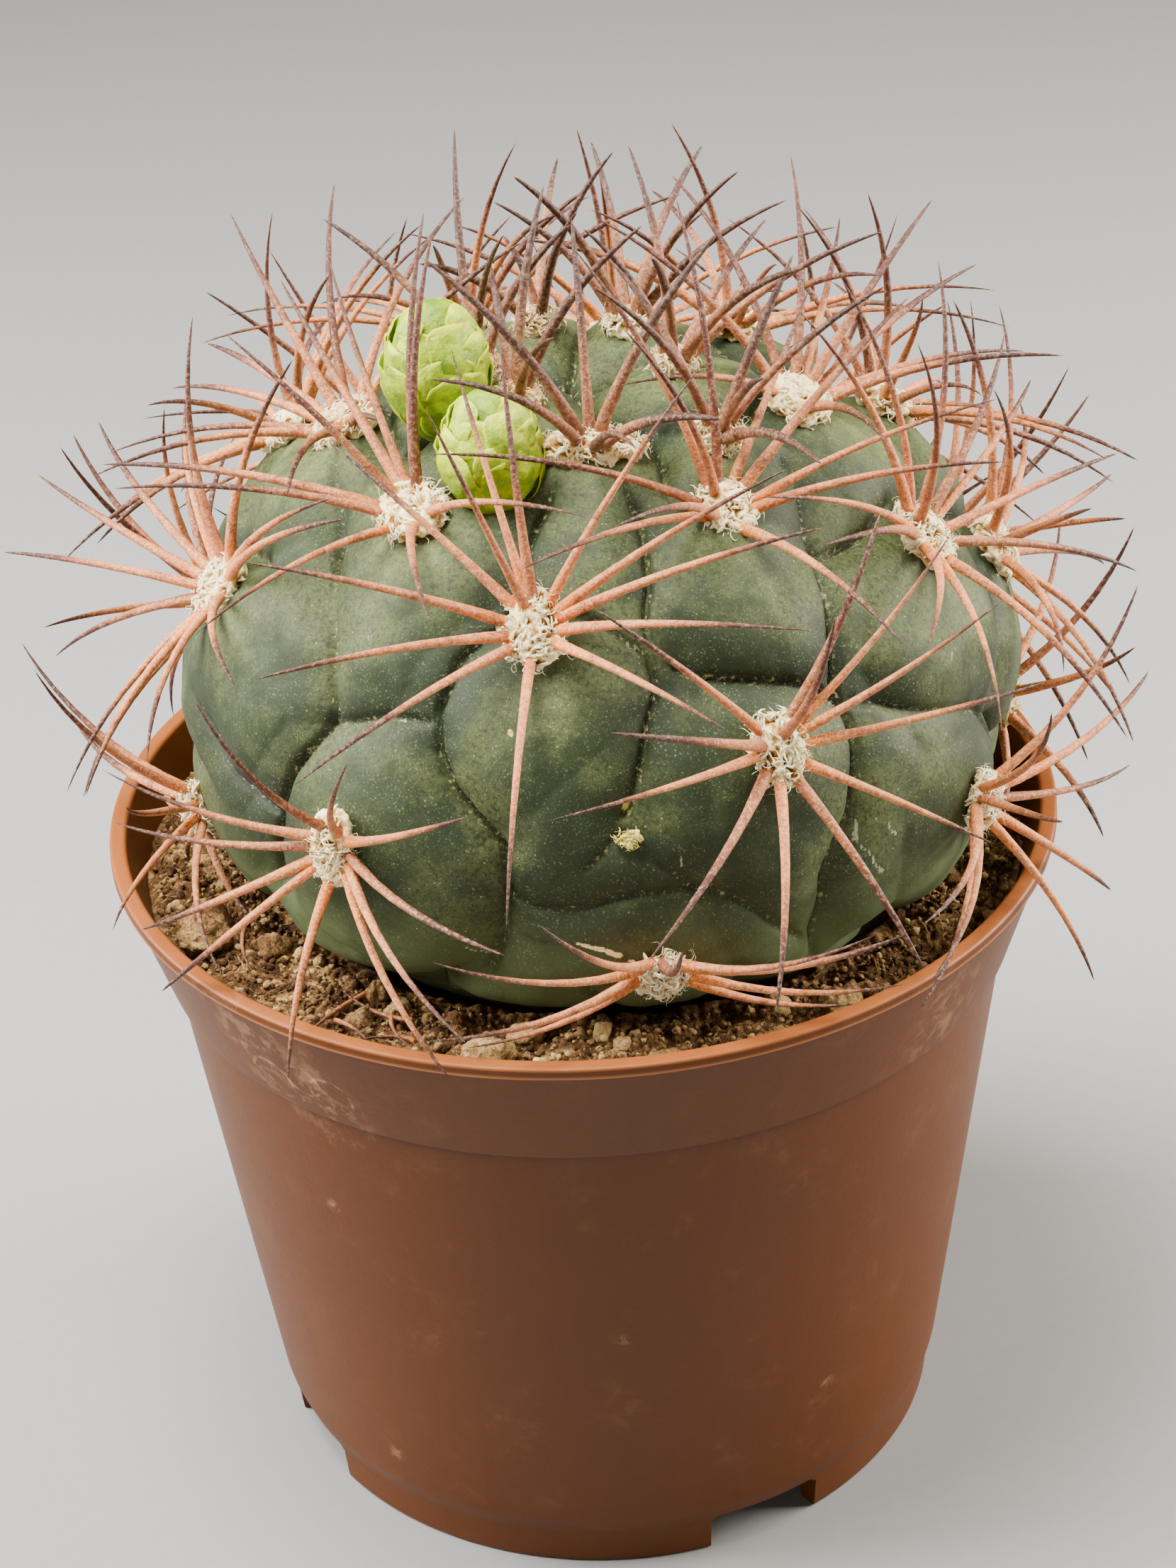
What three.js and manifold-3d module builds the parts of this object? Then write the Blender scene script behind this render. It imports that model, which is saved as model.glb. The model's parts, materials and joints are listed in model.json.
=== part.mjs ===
// A globe cactus in a 12 cm round nursery pot: the pot, the soil, the fleshy stem, one wool
// pad with its spines for each areole, two flower buds and a few lumps of grit.
// Millimetres, +Z up. The origin is on the pot's axis, at the level the pot stands on.
// Azimuths are degrees around Z: 0 is the front, -Y, and 90 is the right, +X.
import * as THREE from "three";
import { mergeVertices } from "three/addons/utils/BufferGeometryUtils.js";
import Module from "manifold-3d";

const wasm = await Module();
wasm.setup();

// ---- Driving dimensions ----------------------------------------------------------------

const GAP = 0.35; // clearance between neighbouring pieces

// Pot: an injection-moulded cone with a flared rim band and a low foot ring
const POT_HEIGHT = 90;
const LIP_RADIUS = 60;
const LIP_WIDTH = 2;
const LIP_EDGE = 1.4; // upright edge of the lip
const LIP_OVERHANG = 0.7; // how far the lip stands out over the band
const BAND_FOOT_Z = 73.4; // lower edge of the rim band
const BAND_FOOT_RADIUS = 54.9;
const BAND_STEP = 1; // how far the band stands proud of the wall
const WALL_FOOT_RADIUS = 45.6;
const WALL_FOOT_Z = 7.9;
const WALL = 1.3;
const FOOT_RADIUS = 44.2;
const FOOT_WIDTH = 2.6;
const FOOT_DRAFT = 0.5; // how much the foot ring's sides slope over its height
const FLOOR_CORNER = 3; // height of the sloped corner between floor and wall, inside
const FLOOR_CORNER_WIDTH = 2;
const FLOOR_UNDERSIDE_Z = 3.5;
const FLOOR_TOP_Z = 5;
const POT_SIDES = 48;
const NOTCH_COUNT = 4;
const NOTCH_FIRST_AZIMUTH = 25.5;
const NOTCH_WIDTH = 15.5;
const NOTCH_HEIGHT = 5.6;
const NOTCH_CORNER = 1.6;
const DRAIN_COUNT = 8;
const DRAIN_RADIUS = 3;
const DRAIN_CIRCLE = 31;

// Soil: level of its surface, and how much it undulates
const SOIL_Z = 84.5;
const SOIL_WAVE = 0.7;

// Stem: a flattened globe, narrowed to a root neck under the soil
const STEM_X = 2.8; // the plant stands a little right of the pot's axis
const STEM_CENTRE_Z = 108;
const STEM_RADIUS = 52.5;
const STEM_HALF_HEIGHT = 42.5;
const NECK_ANGLE = 128; // where the globe turns into the root neck, from the apex
const ROOT_RADIUS = 15;
const ROOT_Z = 60;
const STEM_SIDES = 48;
const STEM_RINGS = 20;
const CREASE_DEPTH = 0.2; // depth of the crease between tubercles, in tubercle widths
const CREASE_WIDTH = 0.2;
const CHIN_DROP = 9; // how far a tubercle's middle hangs below its areole
const CROWN_DIMPLE = 3;

// Areoles: half width, half height and half thickness of a wool pad
const WOOL = [4, 5.2, 2.3];
const YOUNG_WOOL = [3, 3.2, 2.2];

// Spines
const SPINE_BASE_RADIUS = 0.85;
const YOUNG_SPINE_RADIUS = 0.6;
const SPINE_CURL = 35; // degrees a spine bends towards the stem along its length
const SPINE_SIDES = 3;
const SPINE_STEPS = 2;
const SPINE_SPACING = 1; // clearance kept between the spines of neighbouring areoles
const STEM_SPACING = 1.4; // clearance a spine keeps over the stem, beyond its own areole
const SPINE_RISE = 1.1; // a spine starts this far above the stem, inside the wool
const FOOT_SPREAD = 0.6; // how far out in the wool a leaning spine starts

// The areoles that carry full spines: azimuth, angle from the apex and, per spine,
// [clock angle from straight up, lean from the surface normal, length].
const AREOLES = [
  [-10, 50, [[-30, 25, 28], [-8, 45, 30], [-20, 58, 30], [35, 50, 32], [60, 58, 32],
    [72, 62, 32], [95, 52, 32], [120, 50, 27], [180, 70, 32], [-135, 48, 32],
    [-110, 50, 30], [-85, 50, 31], [-52, 60, 29]]],
  [-41, 36, [[-12, 42, 32], [-2, 38, 30], [-38, 48, 31], [-58, 52, 32], [-120, 48, 32],
    [-108, 58, 36], [-168, 50, 28], [42, 66, 30], [85, 52, 32], [120, 48, 28], [-80, 25, 28]]],
  [31, 35, [[-85, 55, 32], [-62, 62, 34], [-20, 38, 33], [8, 34, 34], [40, 60, 30],
    [68, 50, 32], [98, 50, 32], [112, 52, 30], [178, 48, 30], [-115, 42, 30], [-45, 20, 28]]],
  [23, 71, [[28, 58, 26], [50, 60, 28], [66, 50, 28], [90, 66, 30], [125, 76, 28],
    [160, 62, 27], [-160, 58, 27], [-125, 55, 28], [-90, 64, 28], [-66, 40, 30],
    [-45, 58, 28], [0, 20, 24]]],
  [66, 54, [[-42, 68, 30], [-70, 60, 30], [-10, 55, 30], [6, 48, 30], [30, 38, 30],
    [-28, 28, 30], [70, 50, 28], [84, 55, 28], [110, 50, 30], [134, 62, 31], [-162, 56, 31],
    [-135, 62, 29], [-98, 55, 31]]],
  [-36, 87, [[34, 42, 26], [-14, 38, 27], [-75, 50, 26], [-98, 66, 29], [-122, 60, 28],
    [-140, 64, 30], [178, 62, 25], [148, 60, 27], [112, 50, 29], [92, 58, 28], [60, 58, 27]]],
  [6, 107, [[-30, 52, 31], [-56, 58, 31], [-80, 54, 28], [0, 40, 22], [42, 50, 28],
    [62, 56, 28], [88, 60, 26], [112, 58, 22], [-108, 58, 22]]],
  [58, 97, [[80, 58, 30], [104, 56, 29], [-52, 38, 29], [142, 50, 30], [168, 58, 27],
    [-96, 56, 30], [-78, 60, 31], [-30, 50, 28], [40, 58, 29], [-130, 60, 26]]],
  [-74, 61, [[56, 68, 33], [34, 66, 30], [6, 58, 28], [-22, 42, 30], [-64, 62, 28],
    [-82, 48, 30], [-100, 42, 32], [-122, 36, 30], [-138, 62, 30], [146, 55, 28],
    [118, 56, 28], [90, 62, 28], [170, 60, 28]]],
  [-74, 102, [[-85, 52, 29], [44, 58, 28], [-125, 52, 30], [80, 40, 27], [-155, 55, 27],
    [104, 62, 27], [10, 50, 28], [-40, 48, 28], [150, 62, 24]]],
  [-87, 33, [[-120, 54, 27], [-136, 60, 29], [-160, 55, 28], [170, 48, 28], [-95, 28, 31],
    [-68, 38, 31], [-40, 54, 30], [10, 62, 28], [60, 60, 28], [110, 58, 27]]],
  [79, 29, [[62, 34, 30], [105, 28, 30], [118, 48, 32], [85, 52, 30], [38, 50, 30],
    [160, 44, 30], [140, 56, 30], [0, 52, 30], [-60, 58, 28], [-110, 50, 28]]],
  [89, 70, [[112, 44, 31], [132, 54, 29], [-72, 44, 29], [84, 56, 28], [-92, 66, 28],
    [-35, 55, 30], [0, 52, 29], [40, 48, 28], [170, 58, 27], [-150, 60, 27]]],
  [95, 104, [[0, 52, 26], [45, 58, 26], [90, 60, 26], [135, 60, 25], [-45, 58, 26],
    [-90, 56, 27], [-135, 60, 24]]],
  [108, 48, "ring"], [119, 88, "ring"], [135, 31, "ring"], [141, 68, "ring"],
  [139, 101, "short"], [173, 50, "ring"], [176, 87, "ring"], [-150, 34, "ring"],
  [-147, 69, "ring"], [-145, 104, "short"], [-114, 50, "ring"], [-110, 86, "ring"],
];

// The young areoles round the growing point: azimuth and angle from the apex
const YOUNG_AREOLES = [[1, 22], [42, 25], [-43, 13], [-95, 14], [-160, 17], [155, 15], [85, 12]];

// Places on the stem that have a tubercle but no spines
const BARE_TUBERCLES = [[3, 80], [27, 108], [-8, 125], [30, 126], [-50, 124]];

// Flower buds: azimuth and angle from the apex of the bud's foot, its half width and height
const BUDS = {
  flower_bud_front: { azimuth: -27, angle: 30, radius: 5.9, height: 16 },
  flower_bud_back: { azimuth: -62, angle: 22.5, radius: 6.3, height: 17.5 },
};

// Lumps of grit on the soil: azimuth, distance from the axis, half length, turn
const GRIT = {
  grit_front_left: { azimuth: -14, out: 51, size: 2.6, turn: 20 },
  grit_front_right: { azimuth: 34, out: 52.5, size: 3.2, turn: 70 },
  grit_front_small: { azimuth: 9, out: 53, size: 1.9, turn: 130 },
  grit_left: { azimuth: -66, out: 51.5, size: 4, turn: 100 },
  grit_back: { azimuth: 160, out: 50, size: 3, turn: 40 },
};

// Finishes: colour, roughness
const TERRACOTTA = [0xb0683f, 0.6];
const EARTH = [0x5e452f, 0.95];
const GREY_GREEN = [0x5f6b50, 0.62];
const SPINE_PINK = [0xcf9a80, 0.6];
const YOUNG_SPINE_BROWN = [0x6b4a42, 0.6];
const BUD_GREEN = [0x9db53a, 0.45];
const GRIT_TAN = [0xb39468, 0.9];

// ---- Small helpers ---------------------------------------------------------------------

const rad = (degrees) => (degrees * Math.PI) / 180;

// A repeatable number from 0 to 1 for each pair of counts.
function chance(i, j) {
  const s = Math.sin(i * 12.9898 + j * 78.233) * 43758.5453;
  return s - Math.floor(s);
}

// A three.js geometry as a manifold-3d solid.
function solid(geometry) {
  const g = geometry.clone();
  ["normal", "uv"].forEach((name) => g.deleteAttribute(name));
  const merged = mergeVertices(g, 1e-4);
  const index = merged.index.array;
  const kept = [];
  for (let i = 0; i < index.length; i += 3) {
    const [a, b, c] = [index[i], index[i + 1], index[i + 2]];
    if (a !== b && b !== c && c !== a) kept.push(a, b, c);
  }
  return new wasm.Manifold(
    new wasm.Mesh({
      numProp: 3,
      vertProperties: merged.attributes.position.array,
      triVerts: new Uint32Array(kept),
    }),
  );
}

// The way back: a solid as a three.js geometry.
function geometryOf(body) {
  const mesh = body.getMesh();
  const position = new Float32Array(mesh.numVert * 3);
  for (let i = 0; i < mesh.numVert; i++)
    position.set(mesh.vertProperties.subarray(i * mesh.numProp, i * mesh.numProp + 3), i * 3);
  const g = new THREE.BufferGeometry();
  g.setAttribute("position", new THREE.BufferAttribute(position, 3));
  g.setIndex(new THREE.BufferAttribute(mesh.triVerts, 1));
  g.computeVertexNormals();
  return g;
}

// The main body of a solid that a cut has left with loose crumbs.
const mainBody = (body) => body.decompose().sort((a, b) => b.volume() - a.volume())[0];

const group = new THREE.Group();

function addPiece(name, body, [color, roughness]) {
  const material = new THREE.MeshStandardMaterial({ color, roughness, metalness: 0 });
  const mesh = new THREE.Mesh(geometryOf(body), material);
  mesh.name = name;
  group.add(mesh);
}

// A profile of [radius, z] points turned round the Z axis.
function turned(profile, sides) {
  const points = profile.map(([r, z]) => new THREE.Vector2(r, z));
  return new THREE.LatheGeometry(points, sides).rotateX(Math.PI / 2);
}

// Moves each vertex of a geometry to place(vertex).
function shaped(geometry, place) {
  const position = geometry.attributes.position;
  const v = new THREE.Vector3();
  for (let i = 0; i < position.count; i++) {
    const p = place(v.fromBufferAttribute(position, i));
    position.setXYZ(i, p.x, p.y, p.z);
  }
  return geometry;
}

const polar = (azimuth, radius, z) =>
  new THREE.Vector3(radius * Math.sin(rad(azimuth)), -radius * Math.cos(rad(azimuth)), z);

// ---- Pot -------------------------------------------------------------------------------

// Outer radius of the plain wall at height z.
function wallRadius(z) {
  const top = BAND_FOOT_RADIUS - BAND_STEP;
  const share = (z - WALL_FOOT_Z) / (BAND_FOOT_Z - WALL_FOOT_Z);
  return WALL_FOOT_RADIUS + (top - WALL_FOOT_RADIUS) * share;
}

const BAND_TOP_RADIUS = LIP_RADIUS - LIP_OVERHANG;
const LIP_INNER_RADIUS = LIP_RADIUS - LIP_WIDTH;

// Inner radius of the pot at height z: the wall, then the flared band.
function innerRadius(z) {
  if (z <= BAND_FOOT_Z) return wallRadius(z) - WALL;
  const foot = wallRadius(BAND_FOOT_Z) - WALL;
  const share = (z - BAND_FOOT_Z) / (POT_HEIGHT - BAND_FOOT_Z);
  return foot + (LIP_INNER_RADIUS - foot) * share;
}

function makePot() {
  const profile = [
    [0, FLOOR_UNDERSIDE_Z],
    [FOOT_RADIUS - FOOT_WIDTH - FOOT_DRAFT, FLOOR_UNDERSIDE_Z],
    [FOOT_RADIUS - FOOT_WIDTH, 0],
    [FOOT_RADIUS, 0],
    [FOOT_RADIUS + FOOT_DRAFT, NOTCH_HEIGHT],
    [WALL_FOOT_RADIUS, WALL_FOOT_Z],
    [wallRadius(BAND_FOOT_Z), BAND_FOOT_Z],
    [BAND_FOOT_RADIUS, BAND_FOOT_Z + 0.3],
    [BAND_TOP_RADIUS, POT_HEIGHT - LIP_EDGE - 0.3],
    [LIP_RADIUS, POT_HEIGHT - LIP_EDGE],
    [LIP_RADIUS, POT_HEIGHT],
    [LIP_INNER_RADIUS, POT_HEIGHT],
    [innerRadius(BAND_FOOT_Z), BAND_FOOT_Z],
    [innerRadius(FLOOR_TOP_Z + FLOOR_CORNER), FLOOR_TOP_Z + FLOOR_CORNER],
    [innerRadius(FLOOR_TOP_Z) - FLOOR_CORNER_WIDTH, FLOOR_TOP_Z],
    [0, FLOOR_TOP_Z],
  ];
  let pot = solid(turned(profile, POT_SIDES));
  for (let i = 0; i < NOTCH_COUNT; i++) {
    const azimuth = NOTCH_FIRST_AZIMUTH + (i * 360) / NOTCH_COUNT;
    pot = pot.subtract(footNotch(azimuth));
  }
  for (let i = 0; i < DRAIN_COUNT; i++) {
    const at = polar(((i + 0.5) * 360) / DRAIN_COUNT, DRAIN_CIRCLE, FLOOR_TOP_Z);
    const hole = new THREE.CylinderGeometry(DRAIN_RADIUS, DRAIN_RADIUS, 10, 12);
    pot = pot.subtract(solid(hole.rotateX(Math.PI / 2).translate(at.x, at.y, at.z)));
  }
  return pot;
}

// A notch cut through the foot ring, with rounded upper corners.
function footNotch(azimuth) {
  const half = NOTCH_WIDTH / 2;
  const side = half - NOTCH_CORNER;
  const shape = new THREE.Shape();
  shape.moveTo(-half, -1);
  shape.lineTo(half, -1);
  shape.lineTo(half, NOTCH_HEIGHT - NOTCH_CORNER);
  shape.absarc(side, NOTCH_HEIGHT - NOTCH_CORNER, NOTCH_CORNER, 0, Math.PI / 2);
  shape.lineTo(-side, NOTCH_HEIGHT);
  shape.absarc(-side, NOTCH_HEIGHT - NOTCH_CORNER, NOTCH_CORNER, Math.PI / 2, Math.PI);
  shape.closePath();
  const depth = 9;
  const cut = new THREE.ExtrudeGeometry(shape, {
    depth,
    curveSegments: 3,
    bevelEnabled: false,
  });
  cut.rotateX(Math.PI / 2); // its height now runs along Z, its depth along -Y
  cut.translate(0, -(FOOT_RADIUS - FOOT_WIDTH - 1.5), 0);
  cut.rotateZ(rad(azimuth));
  return solid(cut);
}

// ---- Stem ------------------------------------------------------------------------------

// The smooth globe, before its tubercles: azimuth and angle from the apex in degrees.
function globe(azimuth, angle) {
  const p = polar(azimuth, STEM_RADIUS * Math.sin(rad(angle)), 0);
  p.x += STEM_X;
  p.z = STEM_CENTRE_Z + STEM_HALF_HEIGHT * Math.cos(rad(angle));
  return p;
}

function globeNormal(p) {
  return new THREE.Vector3(
    (p.x - STEM_X) / STEM_RADIUS ** 2,
    p.y / STEM_RADIUS ** 2,
    (p.z - STEM_CENTRE_Z) / STEM_HALF_HEIGHT ** 2,
  ).normalize();
}

// A tubercle's middle lies below its areole, down the rib; less so near the crown.
function tubercleMiddle([azimuth, angle]) {
  const drop = CHIN_DROP * Math.min(1, angle / 50);
  const degreesPerMm = 360 / (Math.PI * (STEM_RADIUS + STEM_HALF_HEIGHT));
  return globe(azimuth, angle + drop * degreesPerMm);
}

const TUBERCLES = [...AREOLES, ...YOUNG_AREOLES].map(tubercleMiddle);
TUBERCLES.push(...BARE_TUBERCLES.map(([azimuth, angle]) => globe(azimuth, angle)));

// How deep the surface lies below the globe at p: deepest where p is as far from the
// nearest tubercle's middle as from the next one's.
function crease(p) {
  let near = Infinity;
  let next = Infinity;
  for (const middle of TUBERCLES) {
    const d = p.distanceTo(middle);
    if (d < near) [near, next] = [d, near];
    else if (d < next) next = d;
  }
  const width = near + next;
  return CREASE_DEPTH * width * Math.exp(-(next - near) / (CREASE_WIDTH * width));
}

function crownDimple(angle) {
  return CROWN_DIMPLE * Math.exp(-((angle / 14) ** 2));
}

// The stem's surface, moved outwards by grow.
function stemSurface(azimuth, angle, grow) {
  const p = globe(azimuth, angle);
  const sunk = angle < NECK_ANGLE - 10 ? crease(p) + crownDimple(angle) : 3;
  return p.addScaledVector(globeNormal(p), grow - sunk);
}

// Rings of points from the apex to the root neck, closed at both ends.
function makeStem(grow) {
  const sphere = new THREE.SphereGeometry(1, STEM_SIDES, STEM_RINGS);
  const lastRing = STEM_RINGS - 1;
  const rootFoot = new THREE.Vector3(STEM_X, 0, ROOT_Z - grow);
  const place = (v) => {
    const ring = Math.round((Math.acos(THREE.MathUtils.clamp(v.y, -1, 1)) / Math.PI) * STEM_RINGS);
    const azimuth = THREE.MathUtils.radToDeg(Math.atan2(v.x, -v.z));
    if (ring > lastRing) return rootFoot.clone();
    if (ring === lastRing) {
      const p = polar(azimuth, ROOT_RADIUS + grow, ROOT_Z - grow);
      return p.add(new THREE.Vector3(STEM_X, 0, 0));
    }
    return stemSurface(azimuth, (ring / (lastRing - 1)) * NECK_ANGLE, grow);
  };
  return solid(flippedIfInside(shaped(sphere, place)));
}

// Turns every face of a geometry round if they point inwards.
function flippedIfInside(geometry) {
  const position = geometry.attributes.position;
  const index = geometry.index.array;
  const corner = (i) => new THREE.Vector3().fromBufferAttribute(position, index[i]);
  let volume = 0;
  for (let i = 0; i < index.length; i += 3)
    volume += corner(i).dot(corner(i + 1).cross(corner(i + 2)));
  if (volume > 0) return geometry;
  for (let i = 0; i < index.length; i += 3)
    [index[i + 1], index[i + 2]] = [index[i + 2], index[i + 1]];
  return geometry;
}

// ---- Areoles: wool and spines ----------------------------------------------------------

// Where an areole sits, with its axes: out of the stem, up the rib and to the right.
function areoleFrame([azimuth, angle], wool) {
  const at = stemSurface(azimuth, angle, 0);
  const out = globeNormal(globe(azimuth, angle));
  const up = new THREE.Vector3(0, 0, 1).addScaledVector(out, -out.z).normalize();
  const right = new THREE.Vector3().crossVectors(up, out);
  return { at, out, up, right, wool };
}

// Points along a spine: an arc that leans from the surface normal and bends to the stem.
// The more a spine leans, the nearer the edge of the wool it starts.
function spinePath(frame, [clock, lean, length], samples) {
  const side = frame.up.clone().multiplyScalar(Math.cos(rad(clock)));
  side.addScaledVector(frame.right, Math.sin(rad(clock)));
  const start = rad(lean);
  const foot = frame.at.clone();
  const spread = FOOT_SPREAD * Math.min(1, lean / 50);
  foot.addScaledVector(frame.right, spread * frame.wool[0] * Math.sin(rad(clock)));
  foot.addScaledVector(frame.up, spread * frame.wool[1] * Math.cos(rad(clock)));
  const radius = length / rad(SPINE_CURL);
  const path = [];
  for (let i = 0; i <= samples; i++) {
    const turn = start + (rad(SPINE_CURL) * i) / samples;
    const p = foot.clone();
    p.addScaledVector(frame.out, SPINE_RISE + radius * (Math.sin(turn) - Math.sin(start)));
    p.addScaledVector(side, radius * (Math.cos(start) - Math.cos(turn)));
    path.push(p);
  }
  return path;
}

const spineTaper = (t) => 1 - 0.78 * t ** 1.8;

// The rings, 9 to 13 even spines of differing length, of the areoles without a list.
function ringOfSpines(number, short) {
  const count = (short ? 7 : 9) + Math.floor(chance(number, 1) * 3);
  const spines = [];
  for (let i = 0; i < count; i++) {
    const clock = (360 * (i + 0.6 * (chance(number, i + 2) - 0.5))) / count;
    const lean = 46 + 22 * chance(number, i + 20);
    const length = (short ? 22 : 26) + 6 * chance(number, i + 40);
    spines.push([clock, lean, length]);
  }
  spines.push([40 * (chance(number, 60) - 0.5), 15 + 15 * chance(number, 61), 27]);
  return spines;
}

// Young spines stand nearly upright and are thinner and shorter.
function youngSpines(number) {
  const count = 5 + Math.floor(chance(number, 1) * 2);
  const spines = [];
  for (let i = 0; i < count; i++) {
    const clock = (360 * (i + 0.5 * (chance(number, i + 2) - 0.5))) / count;
    spines.push([clock, 14 + 24 * chance(number, i + 20), 20 + 9 * chance(number, i + 40)]);
  }
  return spines;
}

// ---- What a spine must keep clear of ---------------------------------------------------

const SAMPLES = 20; // points along a spine at which its clearance is tried
const taken = []; // { p, radius, owner } of everything placed so far

const LIP_CLEARANCE = 1.6;
const SOIL_CLEARANCE = 2.4;

function hitsPotOrSoil(p) {
  const r = Math.hypot(p.x, p.y);
  if (r > LIP_INNER_RADIUS - LIP_CLEARANCE && r < LIP_RADIUS + LIP_CLEARANCE)
    return p.z < POT_HEIGHT + LIP_CLEARANCE;
  if (r <= LIP_INNER_RADIUS) return p.z < SOIL_Z + SOIL_CLEARANCE;
  return false;
}

function hitsStem(p, t) {
  if (t < 0.3) return false;
  const x = (p.x - STEM_X) / (STEM_RADIUS + STEM_SPACING);
  const y = p.y / (STEM_RADIUS + STEM_SPACING);
  const z = (p.z - STEM_CENTRE_Z) / (STEM_HALF_HEIGHT + STEM_SPACING);
  return x * x + y * y + z * z < 1;
}

function spineIsClear(path, baseRadius, owner) {
  return path.every((p, i) => {
    const t = i / SAMPLES;
    const radius = baseRadius * spineTaper(t);
    if (hitsPotOrSoil(p) || hitsStem(p, t)) return false;
    return taken.every(
      (o) => o.owner === owner || p.distanceTo(o.p) > radius + o.radius + SPINE_SPACING,
    );
  });
}

// A spine that would touch another's grows past it: the least turn, lean and cut in
// length that clears it.
function clearedSpine(frame, spine, baseRadius, owner) {
  const [clock, lean, length] = spine;
  for (const share of [1, 0.88, 0.75, 0.6, 0.45])
    for (const tilt of [0, -5, 5, -10, 10, -16, 16, -24])
      for (const turn of [0, 4, -4, 8, -8, 13, -13]) {
        const tried = [clock + turn, lean + tilt, length * share];
        const path = spinePath(frame, tried, SAMPLES);
        if (spineIsClear(path, baseRadius, owner)) return tried;
      }
  return null;
}

// ---- Building the areoles --------------------------------------------------------------

// A cone bent along the spine's path, its foot inside the wool.
function spineSolid(frame, spine, baseRadius) {
  const cone = new THREE.ConeGeometry(1, 1, SPINE_SIDES, SPINE_STEPS);
  const path = new THREE.CatmullRomCurve3(spinePath(frame, spine, 2 * SPINE_STEPS));
  const place = (v) => {
    const t = v.y + 0.5;
    const centre = path.getPoint(t);
    if (t > 0.999) return centre;
    const along = path.getTangent(t);
    const a = new THREE.Vector3().crossVectors(along, frame.right);
    if (a.length() < 0.3) a.crossVectors(along, frame.up);
    a.normalize();
    const b = new THREE.Vector3().crossVectors(along, a);
    const ring = Math.hypot(v.x, v.z);
    if (ring < 1e-6) return centre;
    const radius = baseRadius * spineTaper(t);
    const turn = Math.atan2(v.x, v.z);
    centre.addScaledVector(a, radius * Math.cos(turn));
    return centre.addScaledVector(b, radius * Math.sin(turn));
  };
  return solid(flippedIfInside(shaped(cone, place)));
}

function woolSolid(frame) {
  const [halfWidth, halfHeight, halfThickness] = frame.wool;
  const ball = new THREE.SphereGeometry(1, 7, 4);
  const place = (v) => {
    const p = frame.at.clone();
    p.addScaledVector(frame.right, v.x * halfWidth);
    p.addScaledVector(frame.up, v.y * halfHeight);
    return p.addScaledVector(frame.out, 0.6 + v.z * halfThickness);
  };
  return solid(flippedIfInside(shaped(ball, place)));
}

// One areole: its wool pad and its spines, seated on the stem.
function makeAreole({ name, frame, list, baseRadius }) {
  const parts = [woolSolid(frame)];
  for (const spine of list) {
    const cleared = clearedSpine(frame, spine, baseRadius, name);
    if (!cleared) continue;
    parts.push(spineSolid(frame, cleared, baseRadius));
    spinePath(frame, cleared, SAMPLES).forEach((p, i) =>
      taken.push({ p, radius: baseRadius * spineTaper(i / SAMPLES), owner: name }),
    );
  }
  return mainBody(wasm.Manifold.union(parts).subtract(stemSeat));
}

// ---- Buds, soil and grit ---------------------------------------------------------------

// An upright egg with rows of overlapping scales, its foot on the stem.
function makeBud({ azimuth, angle, radius, height }, stemSeat) {
  const foot = stemSurface(azimuth, angle, -1);
  const egg = new THREE.SphereGeometry(1, 14, 10);
  const place = (v) => {
    const turn = Math.atan2(v.z, v.x);
    const rise = (v.y + 1) / 2;
    const scale = 1 + 0.06 * Math.cos(5 * turn + 9 * rise) * Math.sin(Math.PI * rise);
    const ring = Math.hypot(v.x, v.z) * radius * scale;
    return new THREE.Vector3(
      foot.x + ring * Math.cos(turn),
      foot.y + ring * Math.sin(turn),
      foot.z + rise * height,
    );
  };
  return solid(flippedIfInside(shaped(egg, place))).subtract(stemSeat);
}

const soilWave = (p) =>
  SOIL_WAVE * (Math.sin(p.x * 0.31 + 1) * Math.cos(p.y * 0.27) + 0.5 * Math.sin(p.x * 0.7 - p.y * 0.6));

function makeSoil(stemSeat) {
  const edge = (z) => innerRadius(z) - GAP;
  const profile = [
    [0, FLOOR_TOP_Z + GAP],
    [edge(FLOOR_TOP_Z) - FLOOR_CORNER_WIDTH - 0.3, FLOOR_TOP_Z + GAP],
    [edge(FLOOR_TOP_Z + FLOOR_CORNER) - 0.3, FLOOR_TOP_Z + FLOOR_CORNER],
    [edge(BAND_FOOT_Z), BAND_FOOT_Z],
    [edge(SOIL_Z - 1.5), SOIL_Z - 1.5],
    [edge(SOIL_Z) - 2.5, SOIL_Z],
    [edge(SOIL_Z) - 6.5, SOIL_Z + 0.2],
    [edge(SOIL_Z) - 12, SOIL_Z],
    [0, SOIL_Z],
  ];
  const raised = (v) => (v.z > SOIL_Z - 1 ? v.setZ(v.z + soilWave(v)) : v);
  return solid(shaped(turned(profile, POT_SIDES), raised)).subtract(stemSeat);
}

// A rounded lump, its underside cut to the soil it lies in.
function makeGrit({ azimuth, out, size, turn }, soil) {
  const lump = new THREE.IcosahedronGeometry(size, 1);
  lump.scale(1, 0.75, 0.6).rotateZ(rad(turn));
  const at = polar(azimuth, out, SOIL_Z + 0.3 * size);
  lump.translate(at.x, at.y, at.z);
  return solid(lump).subtract(soil.translate([0, 0, GAP]));
}

// ---- Assembly --------------------------------------------------------------------------

const stem = makeStem(0);
const stemSeat = makeStem(GAP);
const soil = makeSoil(stemSeat);

addPiece("pot", makePot(), TERRACOTTA);
addPiece("soil", soil, EARTH);
addPiece("stem", stem, GREY_GREEN);

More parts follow.
